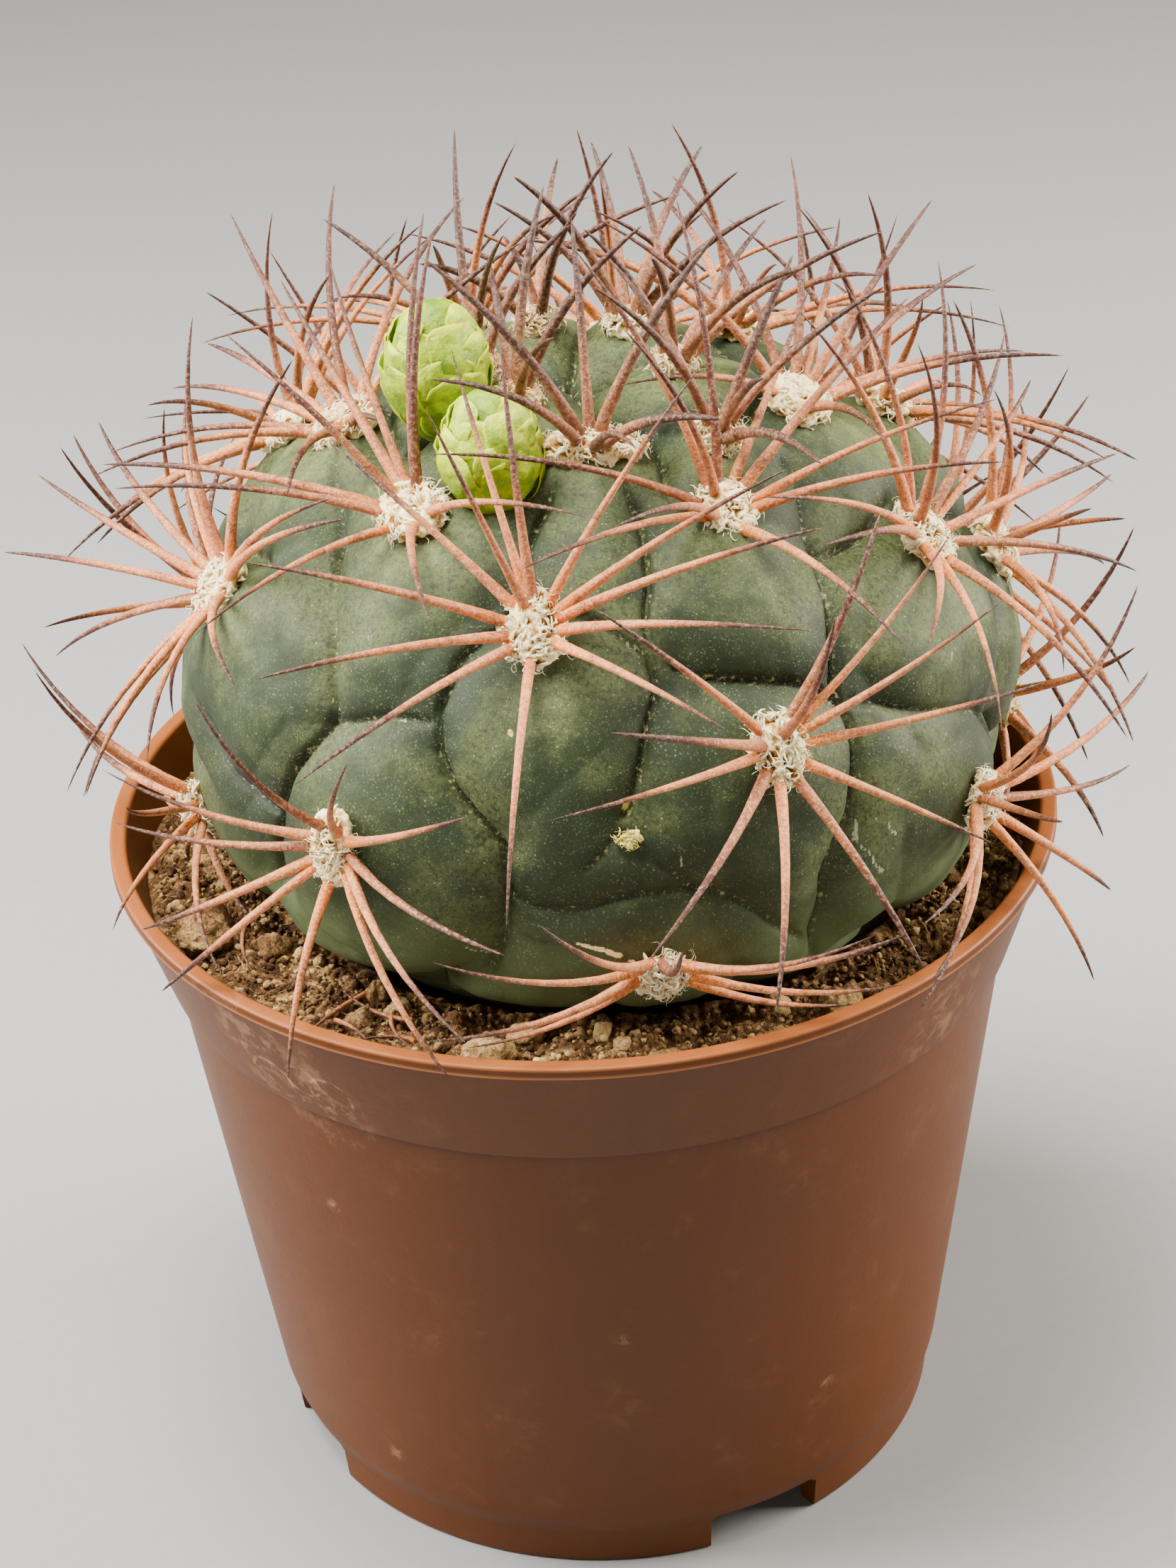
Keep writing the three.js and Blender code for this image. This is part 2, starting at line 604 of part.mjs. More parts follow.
for (const [name, bud] of Object.entries(BUDS)) {
  addPiece(name, makeBud(bud, stemSeat), BUD_GREEN);
  const foot = stemSurface(bud.azimuth, bud.angle, -1);
  for (const rise of [0.15, 0.35, 0.55, 0.75, 0.9])
    taken.push({
      p: foot.clone().setZ(foot.z + rise * bud.height),
      radius: bud.radius * 1.06 * Math.sqrt(1 - (2 * rise - 1) ** 2) + 0.6,
      owner: name,
    });
}
for (const [name, grit] of Object.entries(GRIT)) addPiece(name, makeGrit(grit, soil), GRIT_TAN);

const places = [
  ...AREOLES.map(([azimuth, angle, spines], i) => ({
    name: "areole_" + String(i + 1).padStart(2, "0"),
    frame: areoleFrame([azimuth, angle], WOOL),
    list: Array.isArray(spines) ? spines : ringOfSpines(i, spines === "short"),
    baseRadius: SPINE_BASE_RADIUS,
    finish: SPINE_PINK,
  })),
  ...YOUNG_AREOLES.map((at, i) => ({
    name: "young_areole_" + (i + 1),
    frame: areoleFrame(at, YOUNG_WOOL),
    list: youngSpines(i + 40),
    baseRadius: YOUNG_SPINE_RADIUS,
    finish: YOUNG_SPINE_BROWN,
  })),
];
for (const { name, frame } of places)
  taken.push({ p: frame.at, radius: frame.wool[1] - 0.6, owner: name });
for (const place of places) addPiece(place.name, makeAreole(place), place.finish);

export default group;
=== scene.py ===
# %% [markdown]
# # A globe cactus in its nursery pot
#
# The real thing is a flattened grey-green globe, made of rounded tubercles, in a 12 cm
# terracotta-coloured plastic pot. Each tubercle carries an areole: a pad of cream wool with a
# wheel of stiff, curved spines. The packed model gives the places and sizes. This script
# gives every piece its fine surface and its finish, without moving anything.

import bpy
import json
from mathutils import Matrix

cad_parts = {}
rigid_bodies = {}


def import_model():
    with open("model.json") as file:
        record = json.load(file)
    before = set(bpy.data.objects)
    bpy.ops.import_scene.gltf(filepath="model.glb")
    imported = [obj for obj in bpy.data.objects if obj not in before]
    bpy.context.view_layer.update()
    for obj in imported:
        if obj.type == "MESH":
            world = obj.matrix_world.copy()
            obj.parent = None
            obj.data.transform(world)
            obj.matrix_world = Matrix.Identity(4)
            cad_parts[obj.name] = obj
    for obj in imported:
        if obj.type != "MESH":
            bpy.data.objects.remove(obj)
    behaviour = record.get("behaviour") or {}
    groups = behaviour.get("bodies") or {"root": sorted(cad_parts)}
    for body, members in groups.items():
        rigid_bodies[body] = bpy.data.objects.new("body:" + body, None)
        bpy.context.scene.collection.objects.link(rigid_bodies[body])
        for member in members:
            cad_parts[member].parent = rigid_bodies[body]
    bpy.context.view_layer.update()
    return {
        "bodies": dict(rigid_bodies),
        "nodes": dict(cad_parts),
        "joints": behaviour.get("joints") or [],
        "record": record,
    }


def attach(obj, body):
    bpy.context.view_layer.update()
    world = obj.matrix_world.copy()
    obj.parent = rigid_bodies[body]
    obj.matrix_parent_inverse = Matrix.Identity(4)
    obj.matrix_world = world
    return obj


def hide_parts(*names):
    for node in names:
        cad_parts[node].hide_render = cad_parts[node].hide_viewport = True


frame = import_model()

# %% [markdown]
# ## Units and directions
#
# Blender counts metres, but a plant's measures read best in millimetres, so each length below
# is in millimetres and becomes metres only where it enters a mesh, a lamp or a node. A round
# thing could be described in x and y; degrees round its axis, from the front, say more.

# %% Units and directions
import itertools
import json
import math

import bpy
import numpy as np
from mathutils import Matrix, Vector

MM = 0.001  # all lengths below are millimetres; Blender counts metres
OBJECT_BODY = "root"


def polar(azimuth, radius, z):
    """Turn `azimuth` degrees from the front (-Y) to the right (+X), go `radius` out, `z` up."""
    a = np.radians(azimuth)
    return np.stack(np.broadcast_arrays(radius * np.sin(a), -radius * np.cos(a), z), axis=-1)


def smoothstep(low, high, x):
    """0 below low, 1 above high, and 3t² - 2t³ of the share t in between."""
    t = np.clip((x - low) / (high - low), 0, 1)
    return t * t * (3 - 2 * t)


def even_turns(count):
    """Even steps round a circle, in radians: 2 pi i / count."""
    return np.arange(count) * 2 * math.pi / count


def unit_length(vectors):
    """Each vector divided by its own length."""
    return vectors / np.linalg.norm(vectors, axis=-1, keepdims=True)


print("front", polar(0, 1, 0), "right", polar(90, 1, 0).round(3))

# %% [markdown]
# ## Camera
#
# The photograph was taken from the front, looking down at 31 degrees, with the phone held
# slightly crooked. A camera could be placed by eye, but a fit to the lip and the foot of the
# pot gives its distance and its focal length too, so the picture can be compared line by line.

# %% Camera
IMAGE_HEIGHT = 2212
FOCAL_PIXELS = 4712.4
SENSOR = 36
ELEVATION, ROLL = math.radians(31), math.radians(-2.97)
DISTANCE = 424.9
AIMED_AT = np.array([0.85, 0, 91.19])
NEAREST_METRES, FARTHEST_METRES = 0.01, 20


def put_in_scene(name, data):
    """A new object at the origin that shows `data`, linked to the scene."""
    made = bpy.data.objects.new(name, data)
    bpy.context.scene.collection.objects.link(made)
    return made


def add_camera():
    """Stand DISTANCE back from AIMED_AT along a line ELEVATION above level, rolled by ROLL."""
    back = np.array([0, -math.cos(ELEVATION), math.sin(ELEVATION)])
    right = np.array([1, 0, 0])
    up = np.cross(back, right)
    turned_right = math.cos(ROLL) * right + math.sin(ROLL) * up
    turned_up = math.cos(ROLL) * up - math.sin(ROLL) * right
    lens = bpy.data.cameras.new("camera")
    lens.sensor_width = SENSOR
    lens.lens = FOCAL_PIXELS * SENSOR / IMAGE_HEIGHT
    lens.clip_start, lens.clip_end = NEAREST_METRES, FARTHEST_METRES
    camera = put_in_scene("camera", lens)
    place = Matrix([*zip(turned_right, turned_up, back)]).to_4x4()
    place.translation = (AIMED_AT + DISTANCE * back) * MM
    camera.matrix_world = place
    bpy.context.scene.camera = camera
    return camera


camera = add_camera()
print("lens", round(camera.data.lens, 2), "mm")

# %% [markdown]
# ## Shader maths
#
# A finish is a tree of nodes. Wiring it by hand hides the sums in it, so one small class
# wraps a socket and lets Python's own operators add the Math nodes, and one method adds
# every other node. A line such as `1 - mask * 0.4` then reads as what it does.

# %% A value that varies over a surface


class Value:
    """A number that varies over a surface: arithmetic on it adds Math nodes."""

    def __init__(self, finish, socket):
        self.finish, self.socket = finish, socket

    # Each operator below adds the Math node of its name
    def maths(self, operation, *numbers, **settings):
        """A Math node: its operation and settings first, then its numbers or links."""
        inputs = dict(enumerate(numbers))
        return self.finish.node("Math", {"operation": operation, **settings}, inputs)

    def __add__(self, other):
        return self.maths("ADD", self, other)

    def __sub__(self, other):
        return self.maths("SUBTRACT", self, other)

    def __rsub__(self, other):
        return self.maths("SUBTRACT", other, self)

    def __mul__(self, other):
        return self.maths("MULTIPLY", self, other)

    def __truediv__(self, other):
        return self.maths("DIVIDE", self, other)

    def __pow__(self, other):
        return self.maths("POWER", self, other)

    __radd__, __rmul__ = __add__, __mul__

    def limited(self):
        """The value held between 0 and 1."""
        return self.maths("ADD", self, 0, use_clamp=True)

    def between(self, low, high):
        """0 at low, 1 at high, with a smooth step between."""
        settings = {"interpolation_type": "SMOOTHSTEP"}
        return self.finish.node("MapRange", settings, {0: self, 1: low, 2: high})


print("operators:", [name for name in vars(Value) if name.startswith("__r")])

# %% [markdown]
# A finish also needs colours and patterns. Colours could be typed in as linear light, but the
# eye's own numbers are easier to compare with a picture, so they are turned into light here.
# Patterns are noise, cells and values stored on the mesh, and their sizes are millimetres.

# %% A finish under construction
LIGHT_POWER = 2.2  # how the eye's even steps bunch up in linear light


def seen(red, green, blue):
    """A colour as the eye reads it, 0 to 255, as linear light: its share to LIGHT_POWER."""
    return (*[(c / 255) ** LIGHT_POWER for c in (red, green, blue)], 1)


class Finish:
    """A material under construction. Patterns read the piece's own Object coordinates."""

    def __init__(self, name):
        self.material = bpy.data.materials.new(name)
        self.material.use_nodes = True
        self.tree = self.material.node_tree
        self.shader = self.tree.nodes["Principled BSDF"]
        self.place = self.node("TexCoord", output="Object")

    def node(self, kind, settings=(), inputs=(), output=0):
        """Add a node: first its settings or its ramp's stops, then its inputs."""
        made = self.tree.nodes.new("ShaderNode" + kind)
        for name, value in dict(settings).items():
            if name == "stops":
                self.set_stops(made.color_ramp.elements, value)
            else:
                setattr(made, name, value)
        self.feed(made, inputs)
        return Value(self, made.outputs[output])

    def feed(self, node, inputs):
        """Link each input that varies, and set each that doesn't."""
        for key, value in dict(inputs).items():
            if isinstance(value, Value):
                self.tree.links.new(value.socket, node.inputs[key])
            else:
                node.inputs[key].default_value = value

    @staticmethod
    def set_stops(elements, stops):
        """Give a ramp as many stops as it needs, each with its position and colour."""
        while len(elements) < len(stops):
            elements.new(0.5)
        for element, (position, shade) in zip(elements, stops):
            element.position, element.color = position, shade

    def noise(self, size, detail=3, roughness=0.6, place=None):
        """Cloudy noise, about 0.5 on the whole, with lumps `size` mm wide."""
        inputs = {"Vector": place or self.place, "Scale": 1 / (size * MM)}
        return self.node("TexNoise", (), {**inputs, "Detail": detail, "Roughness": roughness})

    def cells(self, size):
        """Scattered points `size` mm apart: the distance to the nearest, in that spacing."""
        inputs = {"Vector": self.place, "Scale": 1 / (size * MM)}
        return self.node("TexVoronoi", (), inputs, "Distance")

    def attribute(self, name):
        """A number that the mesh carries at each of its points."""
        return self.node("Attribute", {"attribute_name": name}, output="Fac")

    def blend(self, share, first, second):
        """The first colour where share is 0, the second where it is 1."""
        return self.node("Mix", {"data_type": "RGBA"}, {0: share, 6: first, 7: second}, 2)

    def layers(self, colour, *coats):
        """Blend each (share, colour) over what lies below it, the first coat lowest."""
        for share, coat in coats:
            colour = self.blend(share, colour, coat)
        return colour

    def ramp(self, value, *stops):
        """A colour for each value, blended evenly between (position, colour) stops."""
        return self.node("ValToRGB", {"stops": stops}, {0: value})

    def stretched(self, x, y, z):
        """Object coordinates multiplied along each axis, so patterns draw out along it."""
        inputs = {0: self.place, 1: (x, y, z)}
        return self.node("VectorMath", {"operation": "MULTIPLY"}, inputs)

    def height(self):
        """Height above the floor, in mm."""
        return self.node("SeparateXYZ", (), {0: self.place}, "Z") / MM

    def near(self, place, size):
        """1 at a place on the piece, falling to 0 at `size` mm from it."""
        inputs = {0: self.place, 1: tuple(np.asarray(place, float) * MM)}
        away = self.node("VectorMath", {"operation": "DISTANCE"}, inputs, "Value")
        return 1 - (away / (size * MM)).limited()

    def bump(self, height, depth):
        """A normal tilted by a height of 0 to 1 that stands `depth` mm tall."""
        return self.node("Bump", (), {"Height": height, "Distance": depth * MM})

    def shade(self, sockets):
        """Set what is the same all over by value, and link what varies."""
        self.feed(self.shader, sockets)
        return self.material


print("terracotta as linear light", [round(c, 3) for c in seen(186, 106, 66)])

# %% [markdown]
# ## From arrays to meshes
#
# Every new piece is a surface worked out with numpy. The points of a grid are computed as
# whole arrays, the grid's quads are numbered by arithmetic, and points that coincide are
# merged, which closes seams and poles without special cases.

# %% Grids and welding
WELD = 1e-4  # points closer than this, in mm, are one point


def grid_quads(rows, columns, around=False):
    """Quads of a grid: i and i + 1 along a row, the same in the next; `around` joins ends."""
    i = np.arange(rows - 1)[:, None] * columns
    j = np.arange(columns if around else columns - 1)[None, :]
    k = (j + 1) % columns
    return np.stack([i + j, i + k, i + columns + k, i + columns + j], axis=-1).reshape(-1, 4)


def repeated(quads, count, points_each):
    """One shape's quads for `count` shapes: the k-th is numbered on by k x points_each."""
    starts = np.arange(count)[:, None, None] * points_each
    return (quads[None] + starts).reshape(-1, 4)


def joined(surfaces):
    """One surface of several: their points in a row, their quads numbered on."""
    starts = np.cumsum([0, *[len(points) for points, _ in surfaces[:-1]]])
    points = np.concatenate([points for points, _ in surfaces])
    return points, np.concatenate([quads + k for (_, quads), k in zip(surfaces, starts)])


def volume_of(points, quads):
    """Signed volume: the sum over faces of corner · (edge x edge), negative if inside out."""
    a, b, c, d = (points[quads[:, i]] for i in range(4))
    return (a * (np.cross(b - a, c - a) + np.cross(c - a, d - a))).sum() / 6


def mesh_from(name, points, quads, values):
    """Weld coincident points, drop each quad corner that repeats, and fill a mesh."""
    if volume_of(points, quads) < 0:
        quads = quads[:, ::-1]
    keys = np.round(points / WELD).astype(np.int64)
    _, first, same = np.unique(keys, axis=0, return_index=True, return_inverse=True)
    faces = same.reshape(-1)[quads]
    kept = faces != np.roll(faces, 1, axis=1)
    whole = kept.sum(axis=1) > 2
    faces, kept = faces[whole], kept[whole]
    sizes = kept.sum(axis=1)
    mesh = bpy.data.meshes.new(name)
    mesh.vertices.add(len(first))
    mesh.vertices.foreach_set("co", (points[first] * MM).ravel())
    mesh.loops.add(int(sizes.sum()))
    mesh.loops.foreach_set("vertex_index", faces[kept])
    mesh.polygons.add(len(faces))
    mesh.polygons.foreach_set("loop_start", np.cumsum(sizes) - sizes)
    mesh.update(calc_edges=True)
    for key, value in values.items():
        layer = mesh.attributes.new(key, "FLOAT", "POINT")
        layer.data.foreach_set("value", np.broadcast_to(value, len(points))[first].astype(float))
    return mesh


print("a 2 x 3 grid has quads", grid_quads(2, 3).tolist())

# %% [markdown]
# Each piece then tells the frame two things: the body it rides on and the packed nodes that it
# stands for. Doing this in one place means that no piece can forget it. Extra named values stay
# on the mesh for its finish.

# %% Pieces


def add_piece(name, surfaces, material, slot, *nodes, **values):
    """One piece from (points, quads) surfaces, riding on the body and standing for nodes."""
    mesh = mesh_from(name, *joined(surfaces), values)
    mesh.shade_smooth()
    mesh.materials.append(material)
    piece = put_in_scene(name, mesh)
    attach(piece, OBJECT_BODY)
    if nodes:
        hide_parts(*nodes)
    return piece


# %% [markdown]
# ## Natural roughness
#
# Nothing grown is exact. Value noise gives lumps that are the same on every run: a repeatable
# random number sits at each corner of a lattice, smoothsteps blend the corners, and smaller
# copies are added. It moves real vertices, so the lumps show in outline too.

# %% Noise and repeatable chance


def chance(i, j):
    """A repeatable number from 0 to 1 for a pair of counts: the fraction of a large sine."""
    s = math.sin(i * 12.9898 + j * 78.233) * 43758.5453
    return s - math.floor(s)


def corner_chance(cell, seed):
    """A number from 0 to 1 for each lattice corner, by mixing its whole coordinates."""
    mixed = cell[..., 0] * 374761393 + cell[..., 1] * 668265263 + cell[..., 2] * 974634777
    mixed = (mixed + seed * 1442695041) & 0x7FFFFFFF
    mixed = ((mixed ^ (mixed >> 13)) * 1274126177) & 0x7FFFFFFF
    mixed = ((mixed ^ (mixed >> 15)) * 1911520717) & 0x7FFFFFFF
    return (mixed ^ (mixed >> 14)) / 0x7FFFFFFF


def lumps(points, size, seed=0, octaves=3):
    """Noise from -1 to 1 in lumps `size` mm wide; each octave adds half as much, half as wide."""
    total = 0
    for octave in range(octaves):
        scaled = np.asarray(points, float) * 2**octave / size
        cell = np.floor(scaled).astype(np.int64)
        share = smoothstep(0, 1, scaled - cell)
        value = 0
        for corner in itertools.product((0, 1), repeat=3):
            weight = np.where(corner, share, 1 - share).prod(axis=-1)
            value = value + weight * corner_chance(cell + corner, seed + octave)
        total = total + (2 * value - 1) / 2**octave
    return total / (2 - 2 ** (1 - octaves))


print("lumps at the origin", lumps(np.zeros((1, 3)), 5).round(3))

# %% [markdown]
# ## Floor
#
# The plant stands on a sheet of plain pale paper, far wider than the picture. A curved sweep
# would do, but a flat square of one face shows no edge and throws no second shadow.

# %% Floor
FLOOR_HALF = 4000
FLOOR_DROP = 0.05  # keeps the floor just clear of the pot's foot


def add_floor():
    """A flat square grid of one face, FLOOR_DROP below the level that the pot stands on."""
    ends = np.array([-FLOOR_HALF, FLOOR_HALF], float)
    x, y = np.meshgrid(ends, ends)
    points = np.stack([x, y, np.full_like(x, -FLOOR_DROP)], axis=-1).reshape(-1, 3)
    paper = Finish("studio_floor")
    grain = paper.noise(2, 2)
    tone = paper.blend(grain, seen(124, 123, 121), seen(130, 129, 127))
    mesh = mesh_from("floor", points, grid_quads(2, 2), {})
    mesh.materials.append(paper.shade({"Base Color": tone, "Roughness": 0.85}))
    floor = put_in_scene("floor", mesh)
    return floor


print("floor", add_floor().dimensions[:])

# %% [markdown]
# ## Light
#
# In the photograph broad light comes from both sides and from above, and the front of the
# pot is the darkest part of it. A bare point lamp would draw hard shadows of every spine. So
# two large softboxes stand at the sides, one hangs overhead, and a weak one fills the front.

# %% Softboxes
WORLD_STRENGTH = 0.19


def add_softbox(name, place, size, watts, warmth):
    """A square lamp at `place`, in mm, turned to face the plant's middle."""
    lamp = bpy.data.lights.new(name, "AREA")
    lamp.size, lamp.energy, lamp.color = size * MM, watts, warmth
    box = put_in_scene(name, lamp)
    away = (np.array(place, float) - AIMED_AT) * MM
    box.rotation_mode = "QUATERNION"
    box.location = np.array(place) * MM
    box.rotation_quaternion = Vector(away).to_track_quat("Z", "Y")


NEUTRAL, WARM = (1, 0.98, 0.95), (1, 0.95, 0.88)
add_softbox("softbox_left", (-580, 40, 430), 380, 19, NEUTRAL)
add_softbox("softbox_right", (600, 110, 340), 400, 18, WARM)
add_softbox("softbox_above", (-130, -60, 760), 320, 18, NEUTRAL)
add_softbox("softbox_front", (-160, -720, 60), 420, 3, WARM)

world = bpy.data.worlds.new("studio")
world.use_nodes = True
sky = world.node_tree.nodes["Background"].inputs
sky["Color"].default_value, sky["Strength"].default_value = seen(222, 216, 206), WORLD_STRENGTH
bpy.context.scene.world = world

# %% [markdown]
# ## The pot
#
# An injection-moulded nursery pot: a thin cone with a flared band under the lip, a step and a
# shadow line below the band, and a low foot ring with four drain notches. It could be lathed
# and cut with booleans, but its outline turned round the axis, with each corner rounded by a
# small curve, is one clean grid, and a notch is only a place where the foot ring is lifted.

# %% Pot sizes
POT_HEIGHT, LIP_RADIUS, LIP_WIDTH, LIP_EDGE, LIP_OVERHANG = 90, 60, 2, 1.4, 0.7
BAND_FOOT_Z, BAND_FOOT_RADIUS, BAND_STEP = 73.4, 54.9, 1
WALL_FOOT_RADIUS, WALL_FOOT_Z, WALL = 45.6, 7.9, 1.3
FOOT_RADIUS, FOOT_WIDTH, FOOT_DRAFT = 44.2, 2.6, 0.5
FLOOR_CORNER, FLOOR_CORNER_WIDTH, FLOOR_UNDERSIDE_Z, FLOOR_TOP_Z = 3, 2, 3.5, 5
NOTCH_COUNT, NOTCH_FIRST_AZIMUTH = 4, 25.5
NOTCH_WIDTH, NOTCH_HEIGHT, NOTCH_CORNER, NOTCH_REACH = 15.5, 5.6, 1.6, 40.1
DRAIN_COUNT, DRAIN_RADIUS, DRAIN_CIRCLE = 8, 3, 31
LIP_INNER_RADIUS = LIP_RADIUS - LIP_WIDTH


def wall_radius(z):
    """Outer radius of the wall: a straight line from its foot to the step under the band."""
    rise = (z - WALL_FOOT_Z) / (BAND_FOOT_Z - WALL_FOOT_Z)
    return WALL_FOOT_RADIUS + (BAND_FOOT_RADIUS - BAND_STEP - WALL_FOOT_RADIUS) * rise


def inner_radius(z):
    """Inner radius: the wall's line less its thickness, then a flare to the lip."""
    step = wall_radius(BAND_FOOT_Z) - WALL
    flare = step + (LIP_INNER_RADIUS - step) * (z - BAND_FOOT_Z) / (POT_HEIGHT - BAND_FOOT_Z)
    return np.where(z <= BAND_FOOT_Z, wall_radius(z) - WALL, flare)


# Corners of the outline, [radius, height, rounding], from under the floor round to its top
POT_OUTLINE = np.array([
    [0, FLOOR_UNDERSIDE_Z, 0],
    [FOOT_RADIUS - FOOT_WIDTH - FOOT_DRAFT, FLOOR_UNDERSIDE_Z, 0.4],
    [FOOT_RADIUS - FOOT_WIDTH, 0, 0.4],
    [FOOT_RADIUS, 0, 0.5],
    [FOOT_RADIUS + FOOT_DRAFT, NOTCH_HEIGHT, 0.3],
    [WALL_FOOT_RADIUS, WALL_FOOT_Z, 0.8],
    [wall_radius(BAND_FOOT_Z), BAND_FOOT_Z, 0.15],
    [BAND_FOOT_RADIUS, BAND_FOOT_Z + 0.3, 0.3],
    [LIP_RADIUS - LIP_OVERHANG, POT_HEIGHT - LIP_EDGE - 0.3, 0.1],
    [LIP_RADIUS, POT_HEIGHT - LIP_EDGE, 0.15],
    [LIP_RADIUS, POT_HEIGHT, 0.45],
    [LIP_INNER_RADIUS, POT_HEIGHT, 0.45],
    [inner_radius(BAND_FOOT_Z), BAND_FOOT_Z, 1],
    [inner_radius(FLOOR_TOP_Z + FLOOR_CORNER), FLOOR_TOP_Z + FLOOR_CORNER, 1],
    [inner_radius(FLOOR_TOP_Z) - FLOOR_CORNER_WIDTH, FLOOR_TOP_Z, 1],
    [0, FLOOR_TOP_Z, 0],
])


def rounded(outline, steps=5):
    """Swap each inner corner for the curve (1-s)²a + 2s(1-s)corner + s²b, from a to b.

    A point as far again beyond a and b keeps the bend's shading off the straight parts.
    """
    corner, cut = outline[1:-1, None, :2], outline[1:-1, None, 2:]
    before, after = outline[:-2, None, :2] - corner, outline[2:, None, :2] - corner
    a, b = corner + cut * unit_length(before), corner + cut * unit_length(after)
    s = np.linspace(0, 1, steps)[None, :, None]
    curves = (1 - s) ** 2 * a + 2 * s * (1 - s) * corner + s**2 * b
    bends = np.concatenate([2 * a - corner, curves, 2 * b - corner], axis=1)
    return np.concatenate([outline[:1, :2], bends.reshape(-1, 2), outline[-1:, :2]])


print("outline of", len(rounded(POT_OUTLINE)), "points")

# %% [markdown]
# Turning the outline gives the pot in one sweep. A notch has straight sides and small round
# corners, so the columns of the grid bunch up there, and its ceiling lifts the foot ring. The
# mould's halves left a flash: a thin ragged ridge round the lip's edge.

# %% Pot surface
POT_SIDES = 224
NOTCH_SAMPLES = 12
FLASH_HEIGHT, FLASH_WIDTH, FLASH_RAGS = 0.12, 0.25, 2.5
SIDE_STEP = 0.01  # degrees between the two columns at a notch's upright side


def notch_ceiling(azimuth):
    """Height of the notch over each azimuth: flat, with quarter circles at its corners."""
    pitch = 360 / NOTCH_COUNT
    off = (azimuth - NOTCH_FIRST_AZIMUTH + pitch / 2) % pitch - pitch / 2
    aside = np.abs(FOOT_RADIUS * np.sin(np.radians(off)))
    into_corner = np.clip(aside - NOTCH_WIDTH / 2 + NOTCH_CORNER, 0, NOTCH_CORNER)
    ceiling = NOTCH_HEIGHT - NOTCH_CORNER + np.sqrt(NOTCH_CORNER**2 - into_corner**2)
    return np.where(aside < NOTCH_WIDTH / 2, ceiling, 0)


def pot_azimuths():
    """Even columns, and close ones where a notch's corner rounds and its side drops."""
    half = np.degrees(np.arcsin(NOTCH_WIDTH / 2 / FOOT_RADIUS))
    start = np.degrees(np.arcsin((NOTCH_WIDTH / 2 - NOTCH_CORNER) / FOOT_RADIUS))
    bow = np.sin(np.linspace(0, math.pi / 2, NOTCH_SAMPLES))
    sides = np.append(start + (half - start) * bow, half + SIDE_STEP)
    sides[-2] -= SIDE_STEP
    notches = NOTCH_FIRST_AZIMUTH + np.arange(NOTCH_COUNT)[:, None] * 360 / NOTCH_COUNT
    close = np.concatenate([notches + sides, notches - sides], axis=1).ravel()
    return np.unique(np.concatenate([np.arange(POT_SIDES) * 360 / POT_SIDES, close]) % 360)


def pot_surface():
    """The outline turned round the axis; in a notch nothing of the ring hangs below it."""
    outline = rounded(POT_OUTLINE)
    azimuth = pot_azimuths()
    radius, z = (outline[:, None, i] + 0 * azimuth for i in (0, 1))
    ring = (radius > NOTCH_REACH) & (z < NOTCH_HEIGHT + 1)
    z = np.where(ring, np.maximum(z, notch_ceiling(azimuth)), z)
    points = polar(azimuth, radius, z)
    outside = radius > LIP_RADIUS - 0.4
    flash = np.exp(-(((z - POT_HEIGHT + LIP_EDGE) / FLASH_WIDTH) ** 2)) * outside
    ragged = 0.5 + 0.5 * lumps(points, FLASH_RAGS, seed=3)
    points = polar(azimuth, radius + FLASH_HEIGHT * flash * ragged, z)
    return points.reshape(-1, 3), grid_quads(*radius.shape, around=True), flash.ravel()


pot_points, pot_quads, pot_flash = pot_surface()
print("pot grid", pot_points.shape, "reaches", pot_points.max(axis=0).round(2))

# %% [markdown]
# ## Terracotta-coloured plastic
#
# The pot is polypropylene with a satin skin. Its colour is nearly even, so what makes it read
# as real is small: a mould's fine orange peel, pale rubbed smears on the band, dust that
# settles low on the wall, a few nicks, and a pale flash line round the lip. An image of a pot
# would blur close up; noise keeps its grain at any distance, and single marks are masked in.

# %% Pot marks
# Each mark is [azimuth, height, size]
SMEARS = [(-41, 81, 9), (-36.3, 75.7, 8), (-46.2, 85.6, 7), (48, 80, 8)]
SCUFFS = [(-33.5, 78.5, 4.2), (-37.5, 79.5, 3.6), (-43, 77.5, 4.5)]  # outlines of old marks
NICKS = [(2, 41.9, 1.1), (-37.9, 13.5, 1.6), (-39.4, 57.2, 1.4), (35, 24, 1.3), (200, 50, 1.6)]


def on_wall(azimuth, z):
    """The outside at an azimuth and height: the band's line above its foot, else the wall's."""
    flare = (LIP_RADIUS - BAND_FOOT_RADIUS) / (POT_HEIGHT - BAND_FOOT_Z)
    band = BAND_FOOT_RADIUS + (z - BAND_FOOT_Z) * flare
    return polar(azimuth, band if z > BAND_FOOT_Z else wall_radius(z), z)


def smears(plastic):
    """Nearness to each smear, rooted and added, and a thin ring round each scuff, in noise."""
    smear = 0
    for azimuth, z, size in SMEARS:
        smear = plastic.near(on_wall(azimuth, z), size) ** 0.5 + smear
    smear = smear.limited() * plastic.noise(3.2, 6, 0.75).between(0.46, 0.62)
    for azimuth, z, size in SCUFFS:
        ring = (plastic.near(on_wall(azimuth, z), size) - 0.3) * 12
        ring = 1 - ring.maths("ABSOLUTE", ring)
        smear = smear + ring.limited() * plastic.noise(1.8, 4).between(0.42, 0.6) * 1.6
    return smear


def nicks(plastic):
    """Nearness to each nick, added, with its edge broken by fine noise."""
    nick = 0
    for azimuth, z, size in NICKS:
        nick = plastic.near(on_wall(azimuth, z), size) + nick
    return nick.limited() * plastic.noise(0.9, 3).between(0.42, 0.6)


print("smears", len(SMEARS), "scuffs", len(SCUFFS), "nicks", len(NICKS))
